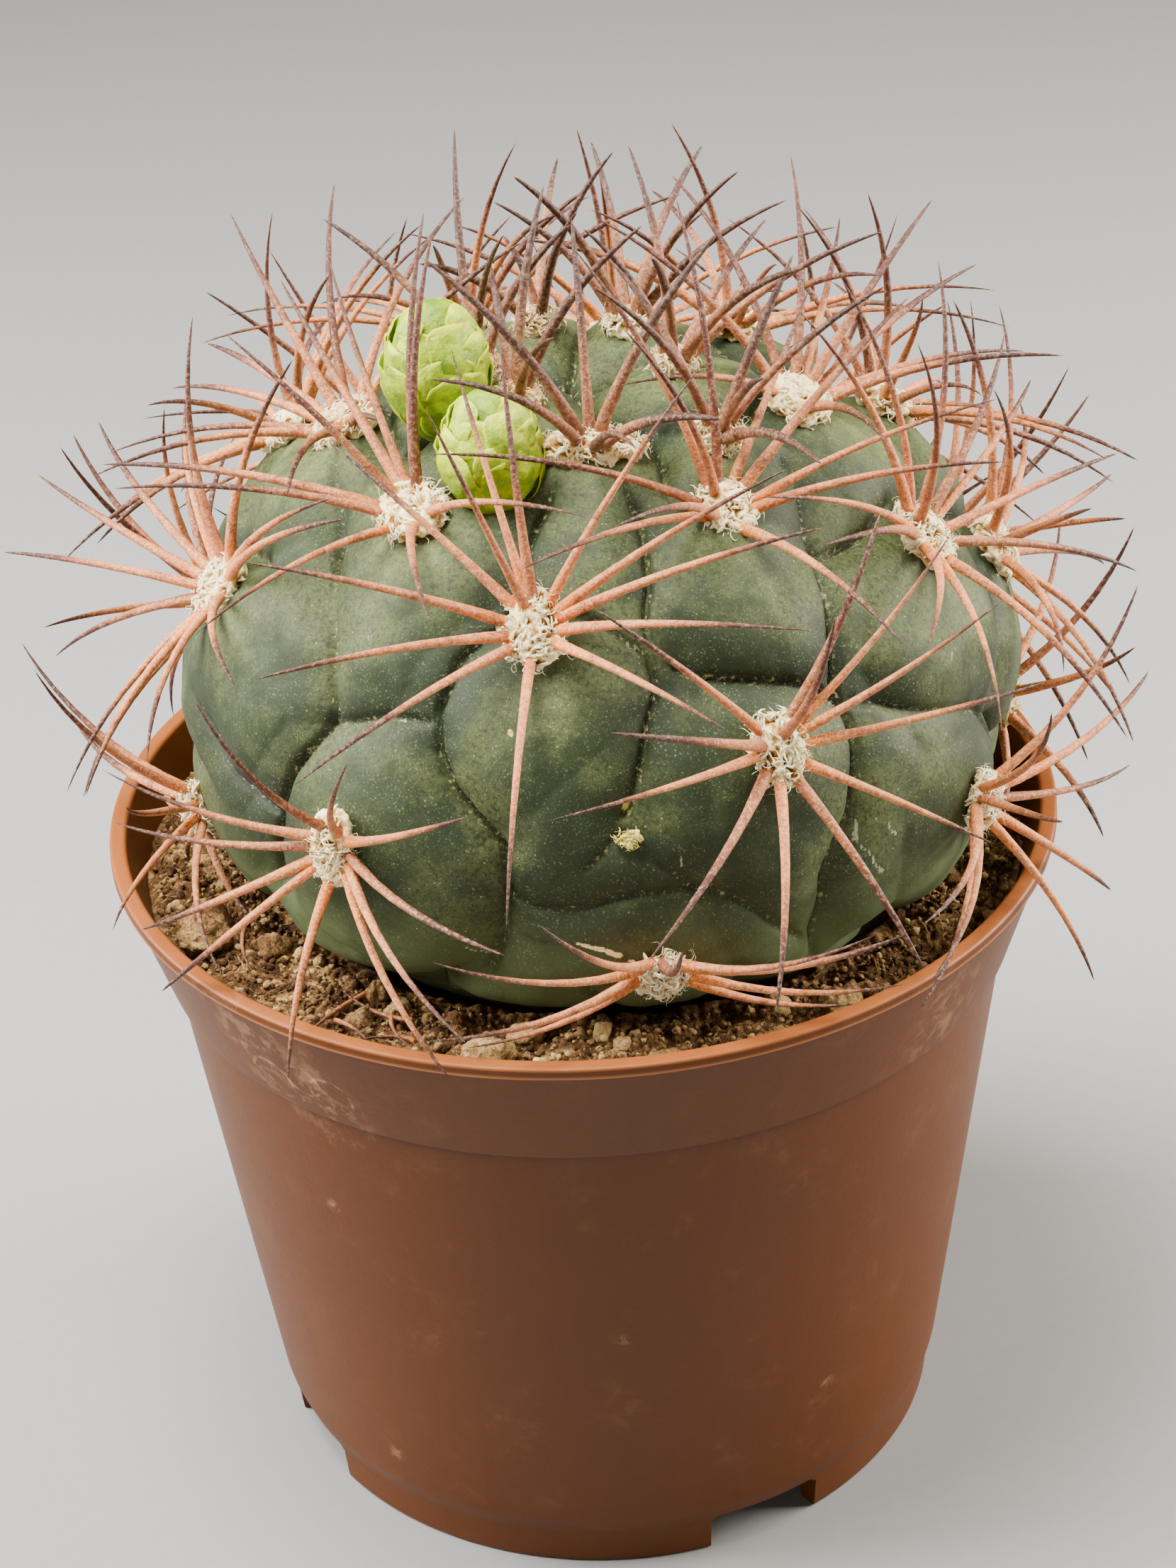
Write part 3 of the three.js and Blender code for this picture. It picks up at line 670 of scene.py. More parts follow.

# %% [markdown]
# The finish lays these over an almost even brown: the moulded colour with its flow streaks,
# then rubbing, the flash, painted shade in the corner under the band and dirt over the foot,
# and last the lip's top, painted paler as a painted highlight.

# %% Pot finish


def terracotta_plastic():
    """Two browns clouded together, then each mark blended over them by its own mask."""
    plastic = Finish("terracotta_plastic")
    cloud = plastic.noise(38, 2)
    fine = plastic.noise(1.6, 4)
    streak = plastic.noise(1, 3, place=plastic.stretched(1 / 3, 1 / 3, 1 / 26))
    dust = plastic.noise(9, 5, 0.7).between(0.5, 0.72) * fine.between(0.35, 0.7)
    rubbed = (smears(plastic) * 0.28 + nicks(plastic) * 0.34 + dust * 0.08).limited()
    z = plastic.height()
    # Painted shade: a dark line painted on the wall just under the band's step, where its shadow
    # falls.
    painted_band_shadow = (z - BAND_FOOT_Z + 1.6).between(0, 1.5) * (BAND_FOOT_Z + 0.1 - z).between(0, 0.1)
    # Painted shade under the band, plus real grime over the foot where the dust mask lies.
    band_shadow_and_foot_grime = painted_band_shadow * 0.6 + (NOTCH_HEIGHT + 3 - z).between(0, 6) * dust * 0.5
    # Painted highlight: the top of the lip is painted paler, as if lit from above.
    rim = (z - POT_HEIGHT + 0.5).between(0, 0.4) * 0.3
    colour = plastic.layers(
        plastic.blend(cloud, seen(73, 39, 5), seen(82, 44, 6)),
        (streak.between(0.45, 0.8) * 0.3, seen(71, 37, 6)),
        (rubbed, seen(178, 134, 100)),
        (plastic.attribute("flash") * 0.5, seen(200, 126, 76)),
        (band_shadow_and_foot_grime.limited(), seen(58, 31, 17)),
        (rim, seen(196, 112, 58)),
    )
    roughness = 0.44 + fine * 0.1 + rubbed * 0.2
    peel = plastic.bump(plastic.noise(0.7, 3) + streak * 0.4, 0.035)
    return plastic.shade({
        "Base Color": colour, "Roughness": roughness, "Normal": peel,
        "Specular IOR Level": 0.22,
    })


POT_PLASTIC = terracotta_plastic()
print("nodes in the plastic:", len(POT_PLASTIC.node_tree.nodes))

# %% [markdown]
# The eight drain holes in the floor are the one thing that turning can't make, so the turned
# body is drilled by a boolean with eight short rods, and the result is kept as a plain mesh.

# %% Drilled pot
ROD_SIDES, ROD_HEIGHT, SHARP_DEGREES = 24, 10, 32


def drain_rods():
    """Eight upright rods on the drain circle: rings at two heights, each closed to a point."""
    turn = np.arange(ROD_SIDES) * 360 / ROD_SIDES
    radius = np.array([0, DRAIN_RADIUS, DRAIN_RADIUS, 0])[:, None]
    z = np.array([0, 0, ROD_HEIGHT, ROD_HEIGHT])[:, None] + 0.0 * turn
    rod = polar(turn, radius, z).reshape(-1, 3)
    holes = polar((np.arange(DRAIN_COUNT) + 0.5) * 360 / DRAIN_COUNT, DRAIN_CIRCLE, 0)
    return [(rod + hole, grid_quads(4, ROD_SIDES, around=True)) for hole in holes]


def add_pot():
    """The turned pot less the rods, with its corners kept sharp."""
    pot = add_piece(
        "nursery_pot", [(pot_points, pot_quads)], POT_PLASTIC, "terracotta_plastic", "pot",
        flash=pot_flash,
    )
    drill = put_in_scene("drill", mesh_from("drill", *joined(drain_rods()), {}))
    cut = pot.modifiers.new("drain holes", "BOOLEAN")
    cut.object, cut.operation, cut.solver = drill, "DIFFERENCE", "MANIFOLD"
    graph = bpy.context.evaluated_depsgraph_get()
    drilled = bpy.data.meshes.new_from_object(pot.evaluated_get(graph), depsgraph=graph)
    pot.modifiers.clear()
    pot.data = drilled
    bpy.data.objects.remove(drill)
    drilled.set_sharp_from_angle(angle=math.radians(SHARP_DEGREES))
    return pot


pot = add_pot()
print("pot faces", len(pot.data.polygons), "box", [round(d / MM, 1) for d in pot.dimensions])

# %% [markdown]
# ## Where the stem and its areoles are
#
# The model's own measures and places, so that everything below lands on the packed bodies: an
# areole is an azimuth and an angle from the apex, and each spine is a clock angle, a lean from
# the surface and a length. Areoles at the back have rings worked out from a repeatable chance.

# %% Sizes of the plant
SOIL_Z, SOIL_WAVE, GAP = 84.5, 0.7, 0.35
STEM_X, STEM_CENTRE_Z, STEM_RADIUS, STEM_HALF_HEIGHT = 2.8, 108, 52.5, 42.5
NECK_ANGLE, ROOT_RADIUS, ROOT_Z = 128, 15, 60
CHIN_DROP, CROWN_DIMPLE, DIMPLE_REACH = 9, 3, 14
WOOL, YOUNG_WOOL = (4, 5.2, 2.3), (3, 3.2, 2.2)  # half sizes across, along the rib and outwards
print("the apex is", STEM_CENTRE_Z + STEM_HALF_HEIGHT, "mm up")

# %% [markdown]
# Each areole that shows in the photograph is a place and its spines as (clock angle, lean,
# length), seen from outside with twelve o'clock up the rib. Those could be grown by a rule
# too, but then the front would show another plant. The back is filled by a rule.

# %% Places
AREOLES = [  # azimuth, angle from the apex, spines
    (-10, 50, [(-30, 25, 28), (-8, 45, 30), (-20, 58, 30), (35, 50, 32), (60, 58, 32),
               (72, 62, 32), (95, 52, 32), (120, 50, 27), (180, 70, 32), (-135, 48, 32),
               (-110, 50, 30), (-85, 50, 31), (-52, 60, 29)]),
    (-41, 36, [(-12, 42, 32), (-2, 38, 30), (-38, 48, 31), (-58, 52, 32), (-120, 48, 32),
               (-108, 58, 36), (-168, 50, 28), (42, 66, 30), (85, 52, 32), (120, 48, 28),
               (-80, 25, 28)]),
    (31, 35, [(-85, 55, 32), (-62, 62, 34), (-20, 38, 33), (8, 34, 34), (40, 60, 30),
              (68, 50, 32), (98, 50, 32), (112, 52, 30), (178, 48, 30), (-115, 42, 30),
              (-45, 20, 28)]),
    (23, 71, [(28, 58, 26), (50, 60, 28), (66, 50, 28), (90, 66, 30), (125, 76, 28),
              (160, 62, 27), (-160, 58, 27), (-125, 55, 28), (-90, 64, 28), (-66, 40, 30),
              (-45, 58, 28), (0, 20, 24)]),
    (66, 54, [(-42, 68, 30), (-70, 60, 30), (-10, 55, 30), (6, 48, 30), (30, 38, 30),
              (-28, 28, 30), (70, 50, 28), (84, 55, 28), (110, 50, 30), (134, 62, 31),
              (-162, 56, 31), (-135, 62, 29), (-98, 55, 31)]),
    (-36, 87, [(34, 42, 26), (-14, 38, 27), (-75, 50, 26), (-98, 66, 29), (-122, 60, 28),
               (-140, 64, 30), (178, 62, 25), (148, 60, 27), (112, 50, 29), (92, 58, 28),
               (60, 58, 27)]),
    (6, 107, [(-30, 52, 31), (-56, 58, 31), (-80, 54, 28), (0, 40, 22), (42, 50, 28),
              (62, 56, 28), (88, 60, 26), (112, 58, 22), (-108, 58, 22)]),
    (58, 97, [(80, 58, 30), (104, 56, 29), (-52, 38, 29), (142, 50, 30), (168, 58, 27),
              (-96, 56, 30), (-78, 60, 31), (-30, 50, 28), (40, 58, 29), (-130, 60, 26)]),
    (-74, 61, [(56, 68, 33), (34, 66, 30), (6, 58, 28), (-22, 42, 30), (-64, 62, 28),
               (-82, 48, 30), (-100, 42, 32), (-122, 36, 30), (-138, 62, 30), (146, 55, 28),
               (118, 56, 28), (90, 62, 28), (170, 60, 28)]),
    (-74, 102, [(-85, 52, 29), (44, 58, 28), (-125, 52, 30), (80, 40, 27), (-155, 55, 27),
                (104, 62, 27), (10, 50, 28), (-40, 48, 28), (150, 62, 24)]),
    (-87, 33, [(-120, 54, 27), (-136, 60, 29), (-160, 55, 28), (170, 48, 28), (-95, 28, 31),
               (-68, 38, 31), (-40, 54, 30), (10, 62, 28), (60, 60, 28), (110, 58, 27)]),
    (79, 29, [(62, 34, 30), (105, 28, 30), (118, 48, 32), (85, 52, 30), (38, 50, 30),
              (160, 44, 30), (140, 56, 30), (0, 52, 30), (-60, 58, 28), (-110, 50, 28)]),
    (89, 70, [(112, 44, 31), (132, 54, 29), (-72, 44, 29), (84, 56, 28), (-92, 66, 28),
              (-35, 55, 30), (0, 52, 29), (40, 48, 28), (170, 58, 27), (-150, 60, 27)]),
    (95, 104, [(0, 52, 26), (45, 58, 26), (90, 60, 26), (135, 60, 25), (-45, 58, 26),
               (-90, 56, 27), (-135, 60, 24)]),
    (108, 48, "ring"), (119, 88, "ring"), (135, 31, "ring"), (141, 68, "ring"),
    (139, 101, "short"), (173, 50, "ring"), (176, 87, "ring"), (-150, 34, "ring"),
    (-147, 69, "ring"), (-145, 104, "short"), (-114, 50, "ring"), (-110, 86, "ring"),
]
YOUNG_AREOLES = [(1, 22), (42, 25), (-43, 13), (-95, 14), (-160, 17), (155, 15), (85, 12)]
BARE_TUBERCLES = [(3, 80), (27, 108), (-8, 125), (30, 126), (-50, 124)]
BUDS = {"flower_bud_front": (-27, 30, 5.9, 16), "flower_bud_back": (-62, 22.5, 6.3, 17.5)}
print(len(AREOLES), "areoles and", len(YOUNG_AREOLES), "young ones")

# %% [markdown]
# The globe is an ellipsoid of revolution, and each tubercle's middle hangs a little below its
# areole, which is what gives it a chin. A sculpted globe would drift away from the packed one
# with every stroke; one formula for both can't.

# %% Globe


def globe(azimuth, angle):
    """A point of the smooth ellipsoid: radius R sin(angle) out, H cos(angle) up."""
    a = np.radians(angle)
    p = polar(azimuth, STEM_RADIUS * np.sin(a), STEM_CENTRE_Z + STEM_HALF_HEIGHT * np.cos(a))
    return p + [STEM_X, 0, 0]


def globe_normal(p):
    """The ellipsoid's gradient, each axis divided by its half size squared, made length 1."""
    half_sizes = [STEM_RADIUS, STEM_RADIUS, STEM_HALF_HEIGHT]
    return unit_length((p - [STEM_X, 0, STEM_CENTRE_Z]) / np.square(half_sizes))


def tubercle_middle(azimuth, angle):
    """The chin's drop in mm, less near the apex, as a share of the mean way round."""
    drop = CHIN_DROP * min(1, angle / 50)
    return globe(azimuth, angle + drop * 360 / (math.pi * (STEM_RADIUS + STEM_HALF_HEIGHT)))


MIDDLES = np.array([
    *[tubercle_middle(*place[:2]) for place in AREOLES + YOUNG_AREOLES],
    *[globe(*place) for place in BARE_TUBERCLES],
])


def crown_dimple(angle):
    """Depth of the hollow round the growing point: a bell, e^(-(angle / DIMPLE_REACH)²)."""
    return CROWN_DIMPLE * np.exp(-((angle / DIMPLE_REACH) ** 2))


print(len(MIDDLES), "tubercles, apex at z", globe(0, 0)[2])

# %% [markdown]
# ## The fleshy stem
#
# Between two tubercles the skin folds into a crease. A crease runs where a point is as far
# from one tubercle's middle as from the next one's, so the surface sinks there: broadly, for
# the rounded flanks, and sharply in the last millimetre, for the fold itself. Creases across
# a rib are shallower than those between ribs. Sculpting would give the same shape with less
# control; here the three-way corners come out by themselves.

# %% Creases between tubercles
CROSS_EASE = 0.4  # how much shallower a crease straight across a rib is
VALLEY_SHARE, VALLEY_REACH, FOLD_REACH = 0.17, 0.21, 0.03  # in widths of the pair
NEIGHBOURS = 5


def creases(points):
    """Depth of the folds, and how sharp: e^(-gap / width) of each neighbouring pair."""
    away = np.linalg.norm(points[:, None] - MIDDLES, axis=-1)
    order = np.argsort(away, axis=1)[:, :NEIGHBOURS]
    d = np.take_along_axis(away, order, axis=1)
    width, gap = d[:, :1] + d[:, 1:], d[:, 1:] - d[:, :1]
    across = MIDDLES[order[:, 1:]] - MIDDLES[order[:, :1]]
    steep = across[..., 2] / np.linalg.norm(across, axis=-1)
    ease = 1 - CROSS_EASE * steep**2
    valley = ease * VALLEY_SHARE * width * np.exp(-gap / (VALLEY_REACH * width))
    fold = ease * np.exp(-gap / (FOLD_REACH * width))
    return valley.max(axis=1), fold.max(axis=1)


print("depth half way between two tubercles", creases(MIDDLES[:2].mean(0)[None])[0].round(2))

# %% [markdown]
# In front the photograph shows how each fold really runs, and they aren't quite half way
# between the areoles. So there the folds are lines from place to place on the globe, and they
# take over from the worked-out creases by a soft step towards the sides.

# %% Folds in front
FRONT_FOLDS = [  # the folds that show in front: depth, then azimuth and angle along each
    (1, (-73, 37), (-56, 44), (-52, 48), (-45, 58), (-41, 67), (-42, 71), (-46, 78), (-49, 87),
     (-51, 95), (-53, 105)),
    (0.8, (-42, 70), (-39, 68), (-32, 65.5), (-26, 65)),
    (1, (-17, 49), (-22.5, 55), (-24.5, 63), (-23.5, 69), (-20.5, 74.5), (-16.5, 79.5),
     (-13.5, 84), (-13, 93), (-15, 102), (-18, 112)),
    (1, (9, 27), (12, 32.5), (10.5, 41.5), (8.5, 48), (8, 55), (8, 61), (6.5, 66), (5, 70.5),
     (3.5, 75.5), (2.5, 78)),
    (0.9, (-4, 47), (0, 48), (3, 49.5), (6.5, 53), (8, 57)),
    (1, (12, 56), (15, 58), (21, 59.5), (27.5, 61.5), (32.5, 64), (36, 68)),
    (1, (56, 32), (50, 39), (44.5, 45.5), (42, 51.5), (38.5, 58), (36, 65), (36.5, 75.5),
     (35, 80.5), (33.5, 86), (31.5, 90), (30, 97), (29.5, 105), (29, 114)),
    (0.9, (38, 69), (43.5, 72), (48.5, 75.5), (55.5, 79), (63.5, 84.5)),
    (0.55, (-12.5, 93), (-9.5, 94.5), (-6, 94.5), (-2, 93.5), (2, 92.5), (7, 92), (11, 92.5),
     (15, 95), (20, 100.5), (24, 106), (27.5, 111)),
    (0.4, (1.5, 81), (-1, 84.5), (-3, 86.5)), (0.4, (3, 81), (5, 85), (8, 88.5), (11.5, 92.5)),
    (0.9, (-73, 79), (-67.5, 82), (-60, 87), (-51, 89)),
    (1, (-10, 26), (-11, 29), (-13.5, 33), (-14, 37), (-13, 43), (-16, 48)),
    (1, (70, 47), (61, 48), (51, 47.5), (44, 47)),
    (0.9, (64, 84), (68, 90), (72, 98), (74, 108)),
]
VALLEY_DEPTH, VALLEY_WIDTH = 3.1, 3.8
FOLD_DEPTH, FOLD_WIDTH = 1, 0.45
FULLEST = 0.95  # keeps the product below from reaching nought


def from_line(points, start, end):
    """Distance to the straight line between two places on the globe."""
    a, b = globe(*start), globe(*end)
    share = np.clip((points - a) @ (b - a) / ((b - a) @ (b - a)), 0, 1)
    return np.linalg.norm(points - a - share[:, None] * (b - a), axis=1)


def front_folds(points):
    """One minus the product of (1 - nearness) over all lines, for valleys and for folds."""
    flat, whole = np.ones(len(points)), np.ones(len(points))
    for depth, *places in FRONT_FOLDS:
        away = np.min([from_line(points, a, b) for a, b in itertools.pairwise(places)], axis=0)
        flat *= 1 - FULLEST * depth * np.exp(-away / VALLEY_WIDTH)
        whole *= 1 - FULLEST * depth * np.exp(-((away / FOLD_WIDTH) ** 2))
    return 1 - flat, 1 - whole


def seen_in_front(azimuth, angle):
    """1 where the photograph shows the folds, 0 round the back, on the crown and the neck."""
    sides = 1 - smoothstep(62, 78, np.abs((azimuth + 180) % 360 - 180))
    return sides * smoothstep(24, 34, angle) * (1 - smoothstep(108, 118, angle))


print(len(FRONT_FOLDS), "folds, of", sum(len(places) for _, *places in FRONT_FOLDS), "places")

# %% [markdown]
# The stem is one closed grid that hangs from its apex like an umbrella. Even steps would
# waste faces on the back and under the soil, so rows and columns crowd where the photograph
# looks. The points wander a little before the creases are worked out, so none runs straight.

# %% Stem grid
STEM_AZIMUTHS = np.concatenate([
    np.linspace(-105, 105, 385, endpoint=False), np.linspace(105, 255, 105, endpoint=False)
])
STEM_ANGLES = np.concatenate([
    np.linspace(0, 30, 34, endpoint=False), np.linspace(30, 116, 145, endpoint=False),
    np.linspace(116, NECK_ANGLE, 20),
])
CREASE_WANDER, FOLD_WANDER, SWELL, NECK_SUNK = 1.6, 0.7, 0.5, 3
CREASES_LEFT = 0.14  # share of the worked-out valleys that stays in front


def stem_grid():
    """Rows from the apex to the neck, closest in front, then down to the root's foot."""
    azimuth, angle = np.meshgrid(STEM_AZIMUTHS, STEM_ANGLES)
    on_globe = globe(azimuth, angle).reshape(-1, 3)
    azimuth, angle = azimuth.ravel(), angle.ravel()
    wobble = np.stack([lumps(on_globe, 9, seed) for seed in (11, 12, 13)], axis=1)
    valley, fold = creases(on_globe + CREASE_WANDER * wobble)
    front_valley, front_fold = front_folds(on_globe + FOLD_WANDER * wobble)
    front = seen_in_front(azimuth, angle)
    fold = fold + (front_fold - fold) * front
    depth = valley * (1 - (1 - CREASES_LEFT) * front) + VALLEY_DEPTH * front_valley * front
    swell = SWELL * lumps(on_globe, 8, 21, 3)
    into_neck = smoothstep(116, 126, angle)
    sunk = depth + FOLD_DEPTH * fold + crown_dimple(angle) - swell
    sunk = sunk * (1 - into_neck) + NECK_SUNK * into_neck
    points = on_globe - sunk[:, None] * globe_normal(on_globe)
    root = [polar(STEM_AZIMUTHS, r, ROOT_Z) + [STEM_X, 0, 0] for r in (ROOT_RADIUS, 0)]
    points = np.concatenate([points, *root])
    spare = np.zeros(2 * len(STEM_AZIMUTHS))
    fold, depth = np.append(fold, spare), np.append(depth, spare)
    quads = grid_quads(len(STEM_ANGLES) + 2, len(STEM_AZIMUTHS), around=True)
    return points, quads, fold, depth, np.concatenate([on_globe, *root])


def faces_up(points):
    """Height part of the grid's normal: the cross product of its steps round and down."""
    grid = points.reshape(-1, len(STEM_AZIMUTHS), 3)
    around = np.roll(grid, -1, axis=1) - np.roll(grid, 1, axis=1)
    n = np.cross(np.gradient(grid, axis=0), around)
    return (n[..., 2] / np.maximum(np.linalg.norm(n, axis=-1), 1e-9)).ravel()


stem_points, stem_quads, stem_fold, stem_depth, stem_globe = stem_grid()
stem_up = faces_up(stem_points)
stem_up = stem_up * np.sign(stem_up[40 * len(STEM_AZIMUTHS)])  # row 40 looks up
print("stem grid", stem_points.shape, "deepest", stem_depth.max().round(2))

# %% [markdown]
# Old scars tell one plant from another: a corky scab, a rusty graze, white nicks and a few
# yellow flecks where a spine once pricked the skin. Each is a line on the globe. The mesh
# carries how near a point is to it, and the material breaks its edges with noise.

# %% Scars
CORK = [((-4.5, 100.5), (-2, 101.5), 0.42), ((-2, 101.5), (0.7, 102.7), 0.55),
        ((2, 104), (2.6, 104.3), 0.4)]
GRAZES = [((-57.1, 99.6), (-54.2, 98.5), 0.3), ((-54.2, 98.5), (-51.5, 98.8), 0.35),
          ((-51.5, 98.8), (-51.4, 101.8), 0.35), ((-12.6, 64.7), (-12.5, 65.1), 0.4),
          ((2.6, 76), (2.5, 76.8), 0.6)]
NICKED = [((35.7, 93.7), (36.6, 96.5), 0.4), ((36.6, 96.5), (37.9, 98.9), 0.4),
          ((34.3, 87.8), (33.7, 91.1), 0.4), ((33.7, 91.1), (35, 93.3), 0.38),
          ((7.6, 69.4), (7.9, 70.3), 0.3), ((8.9, 85.4), (9.2, 87.6), 0.35),
          ((39, 90), (40.5, 93), 0.35), ((-20, 104), (-17, 107), 0.35),
          ((57.6, 69.4), (56.3, 70.9), 0.25)]


def scar_mask(scars):
    """1 on the nearest scar's line, wavering by noise, and 0 from twice its width outwards."""
    ragged = stem_globe + 0.35 * lumps(stem_globe, 1.5, 81)[:, None]
    masks = [1 - smoothstep(0, 2, from_line(ragged, a, b) / width) for a, b, width in scars]
    return np.max(masks, axis=0)


SCAR_MASKS = {"cork": scar_mask(CORK), "graze": scar_mask(GRAZES), "nick": scar_mask(NICKED)}
print("points in scars", {name: int((mask > 0.5).sum()) for name, mask in SCAR_MASKS.items()})

# %% [markdown]
# The living skin is a waxy grey-green. It is painted darker deep in the creases and along the
# folds as painted shade, and lighter on faces that look up and low down near the soil as
# painted light; its waxy bloom lies in patches, and lime dust lies on it in specks. A painted
# image would need the camera's view of every side; mixing the mesh's own depth, fold and tilt
# with noise of four sizes works all round.

# %% Skin finish


def cactus_skin():
    """Green by how far a point bulges, painted darker in creases and lighter facing up, then waxy
    bloom, painted light low down, painted shade in the folds, dust and scars over it.
    """
    skin = Finish("cactus_skin")
    patch, mottle, grain = skin.noise(16, 3), skin.noise(3.4, 5, 0.7), skin.noise(0.6, 4, 0.75)
    fold = skin.attribute("fold")
    # Painted shade: the skin is painted darker the deeper it lies in a crease.
    hollow = (skin.attribute("depth") / 5.5).limited()
    # Painted light: faces that look up are painted lighter, in the green and in the waxy bloom.
    up = skin.attribute("up").limited()
    bulge_and_painted_shading = (0.8 - hollow * 1.1 + (mottle - 0.5) * 0.5 + up * 0.22).limited()
    green = skin.ramp(
        bulge_and_painted_shading, (0, seen(27, 34, 20)), (0.4, seen(37, 46, 28)), (0.75, seen(47, 56, 35)),
        (1, seen(82, 90, 56)),
    )
    # Waxy bloom in patches, plus painted light on faces that look up.
    wax_and_painted_top_light = (patch + up * 0.12).between(0.48, 0.68) * grain.between(0.3, 0.6)
    # Painted light: the skin low down, near the soil, is painted paler.
    painted_low_light = skin.height().between(106, 90)
    rust = skin.noise(0.7, 4).between(0.56, 0.66) * fold.between(0.12, 0.4)
    dust = skin.noise(0.25, 2).between(0.57, 0.72) * mottle.between(0.3, 0.65)
    specks = (1 - skin.cells(1.5).between(0.03, 0.1)) * patch.between(0.35, 0.6)
    ragged = skin.noise(0.6, 5, 0.85) * 2.1
    cork, graze, nick = (
        (skin.attribute(key) * reach - ragged).between(0.08, 0.3)
        for key, reach in (("cork", 1.9), ("graze", 1.9), ("nick", 1.6))
    )
    colour = skin.layers(
        green, (grain.between(0.62, 0.36) * 0.4, seen(30, 38, 18)),
        (wax_and_painted_top_light * 0.25, seen(122, 130, 74)), (painted_low_light * 0.75, seen(94, 106, 70)),
        # Painted shade: a dark line painted along each fold.
        ((fold**3 * 0.7).limited(), seen(26, 30, 14)), (rust * 0.6, seen(170, 160, 110)),
        (dust * 0.36, seen(160, 166, 122)), (specks * 0.42, seen(192, 198, 160)),
        (cork, seen(236, 228, 164)), (graze, seen(200, 174, 80)),
        (nick * 0.5, seen(182, 186, 150)),
    )
    roughness = 0.56 + grain * 0.16 + cork * 0.2
    skin_grain = skin.bump(grain * 0.4 + mottle * 0.6 + cork * 0.8, 0.16)
    return skin.shade({
        "Base Color": colour, "Roughness": roughness, "Normal": skin_grain,
        "Specular IOR Level": 0.22,
    })


stem = add_piece(
    "globe_stem", [(stem_points, stem_quads)], cactus_skin(), "cactus_skin", "stem",
    fold=stem_fold, depth=stem_depth, up=stem_up, **SCAR_MASKS,
)
print("stem faces", len(stem.data.polygons))

# %% [markdown]
# ## The soil
#
# Potting soil is crumbs of every size. The body of it is one turned grid, closed under the
# surface, whose top ring is dense enough to hold real crumbs, and it dips under the stem,
# because the gap there is dark. Loose crumbs on top are separate little lumps. Scattering one
# instance would repeat too plainly, so each lump is squeezed and turned by its own chances.

# %% Shape of the soil
SOIL_COLUMNS, SOIL_ROWS = 860, 62
SOIL_INNER = 41.5
SOIL_RING = 43.6  # beyond this distance from the stem's axis the soil lies open
SOIL_LEVELS = {"in from the wall": [12, 6.5, 2.5, 0], "level": [84.5, 84.7, 84.5, 83.2]}
UNDER_STEM = 0.6


def soil_wave(x, y):
    """The model's own slow waves: a product of sines plus half of a third."""
    return SOIL_WAVE * (
        np.sin(x * 0.31 + 1) * np.cos(y * 0.27) + 0.5 * np.sin(x * 0.7 - y * 0.6)
    )


def soil_top(x, y):
    """Level of the soil: the model's profile and waves, plus crumbs of two sizes."""
    r = np.hypot(x, y)
    edge = inner_radius(SOIL_Z) - GAP
    stations = edge - np.array(SOIL_LEVELS["in from the wall"])
    level = np.interp(r, stations, SOIL_LEVELS["level"])
    flat = np.stack([x, y, 0 * x], axis=-1)
    crumb = 1.2 * np.abs(lumps(flat, 3.4, 31, 3)) + 0.9 * np.abs(lumps(flat, 1.2, 41, 2))
    return level + soil_wave(x, y) + crumb - 0.5


def stem_underside(r_stem):
    """Height of the stem's lower side at a distance from its own axis: neck, then cone."""
    a = np.radians(np.linspace(104, NECK_ANGLE, 30))
    r = np.append(ROOT_RADIUS, STEM_RADIUS * np.sin(a)[::-1] - 1.6)
    z = np.append(ROOT_Z, STEM_CENTRE_Z + STEM_HALF_HEIGHT * np.cos(a)[::-1] + 1.2)
    return np.interp(r_stem, r, z)


def soil_surface():
    """Bottom and wall, the crumbly ring, then a slope that hides under the stem."""
    azimuth = np.arange(SOIL_COLUMNS) * 360 / SOIL_COLUMNS
    edge = inner_radius(SOIL_Z) - GAP
    wall = [(0, 5.35), (41.4, 5.35), (43.6, 8), (inner_radius(BAND_FOOT_Z) - GAP, BAND_FOOT_Z),
            (inner_radius(82) - GAP, 82)]
    rows = [polar(azimuth, r, z) for r, z in wall]
    for r in np.linspace(edge, SOIL_INNER, SOIL_ROWS):
        x, y, _ = np.moveaxis(polar(azimuth, r, 0), -1, 0)
        x = x + STEM_X * smoothstep(edge, SOIL_INNER, r)
        under = stem_underside(np.hypot(x - STEM_X, y)) - UNDER_STEM
        z = np.minimum(soil_top(x, y), under)
        rows.append(np.stack([x, y, z], axis=-1))
    rows += [polar(azimuth, r, z) + [STEM_X, 0, 0] for r, z in ((15.4, 59.5), (0, 59.5))]
    return np.stack(rows).reshape(-1, 3), grid_quads(len(rows), SOIL_COLUMNS, around=True)


soil_points, soil_quads = soil_surface()
print("soil grid", soil_points.shape, "highest", soil_points[:, 2].max().round(1))

# %% [markdown]
# Its finish has to read as many materials at once: dark peat, brown bark and tan dry crumbs.
# One colour with noise would look like paint, so each lump carries a tone of its own on the
# mesh, and noise of two sizes only breaks it up.

# %% Soil body


def soil_mix(name, dark, light):
    """Crumbs that differ in tone: each lump's own tone, over noise of two sizes."""
    soil = Finish(name)
    tone = soil.attribute("tone")
    grain = soil.noise(0.45, 4, 0.8)
    lump = soil.noise(6, 4, 0.7)
    share = (tone * 0.75 + (grain - 0.5) * 1.5 + (lump - 0.5) * 1.1 + 0.12).limited()
    colour = soil.ramp(share, (0, dark), (0.42, seen(112, 79, 46)), (1, light))
    rough = soil.bump(grain, 0.55)
    return soil.shade({
        "Base Color": colour, "Roughness": 0.85 + grain * 0.12, "Normal": rough,
        "Specular IOR Level": 0.2,
    })


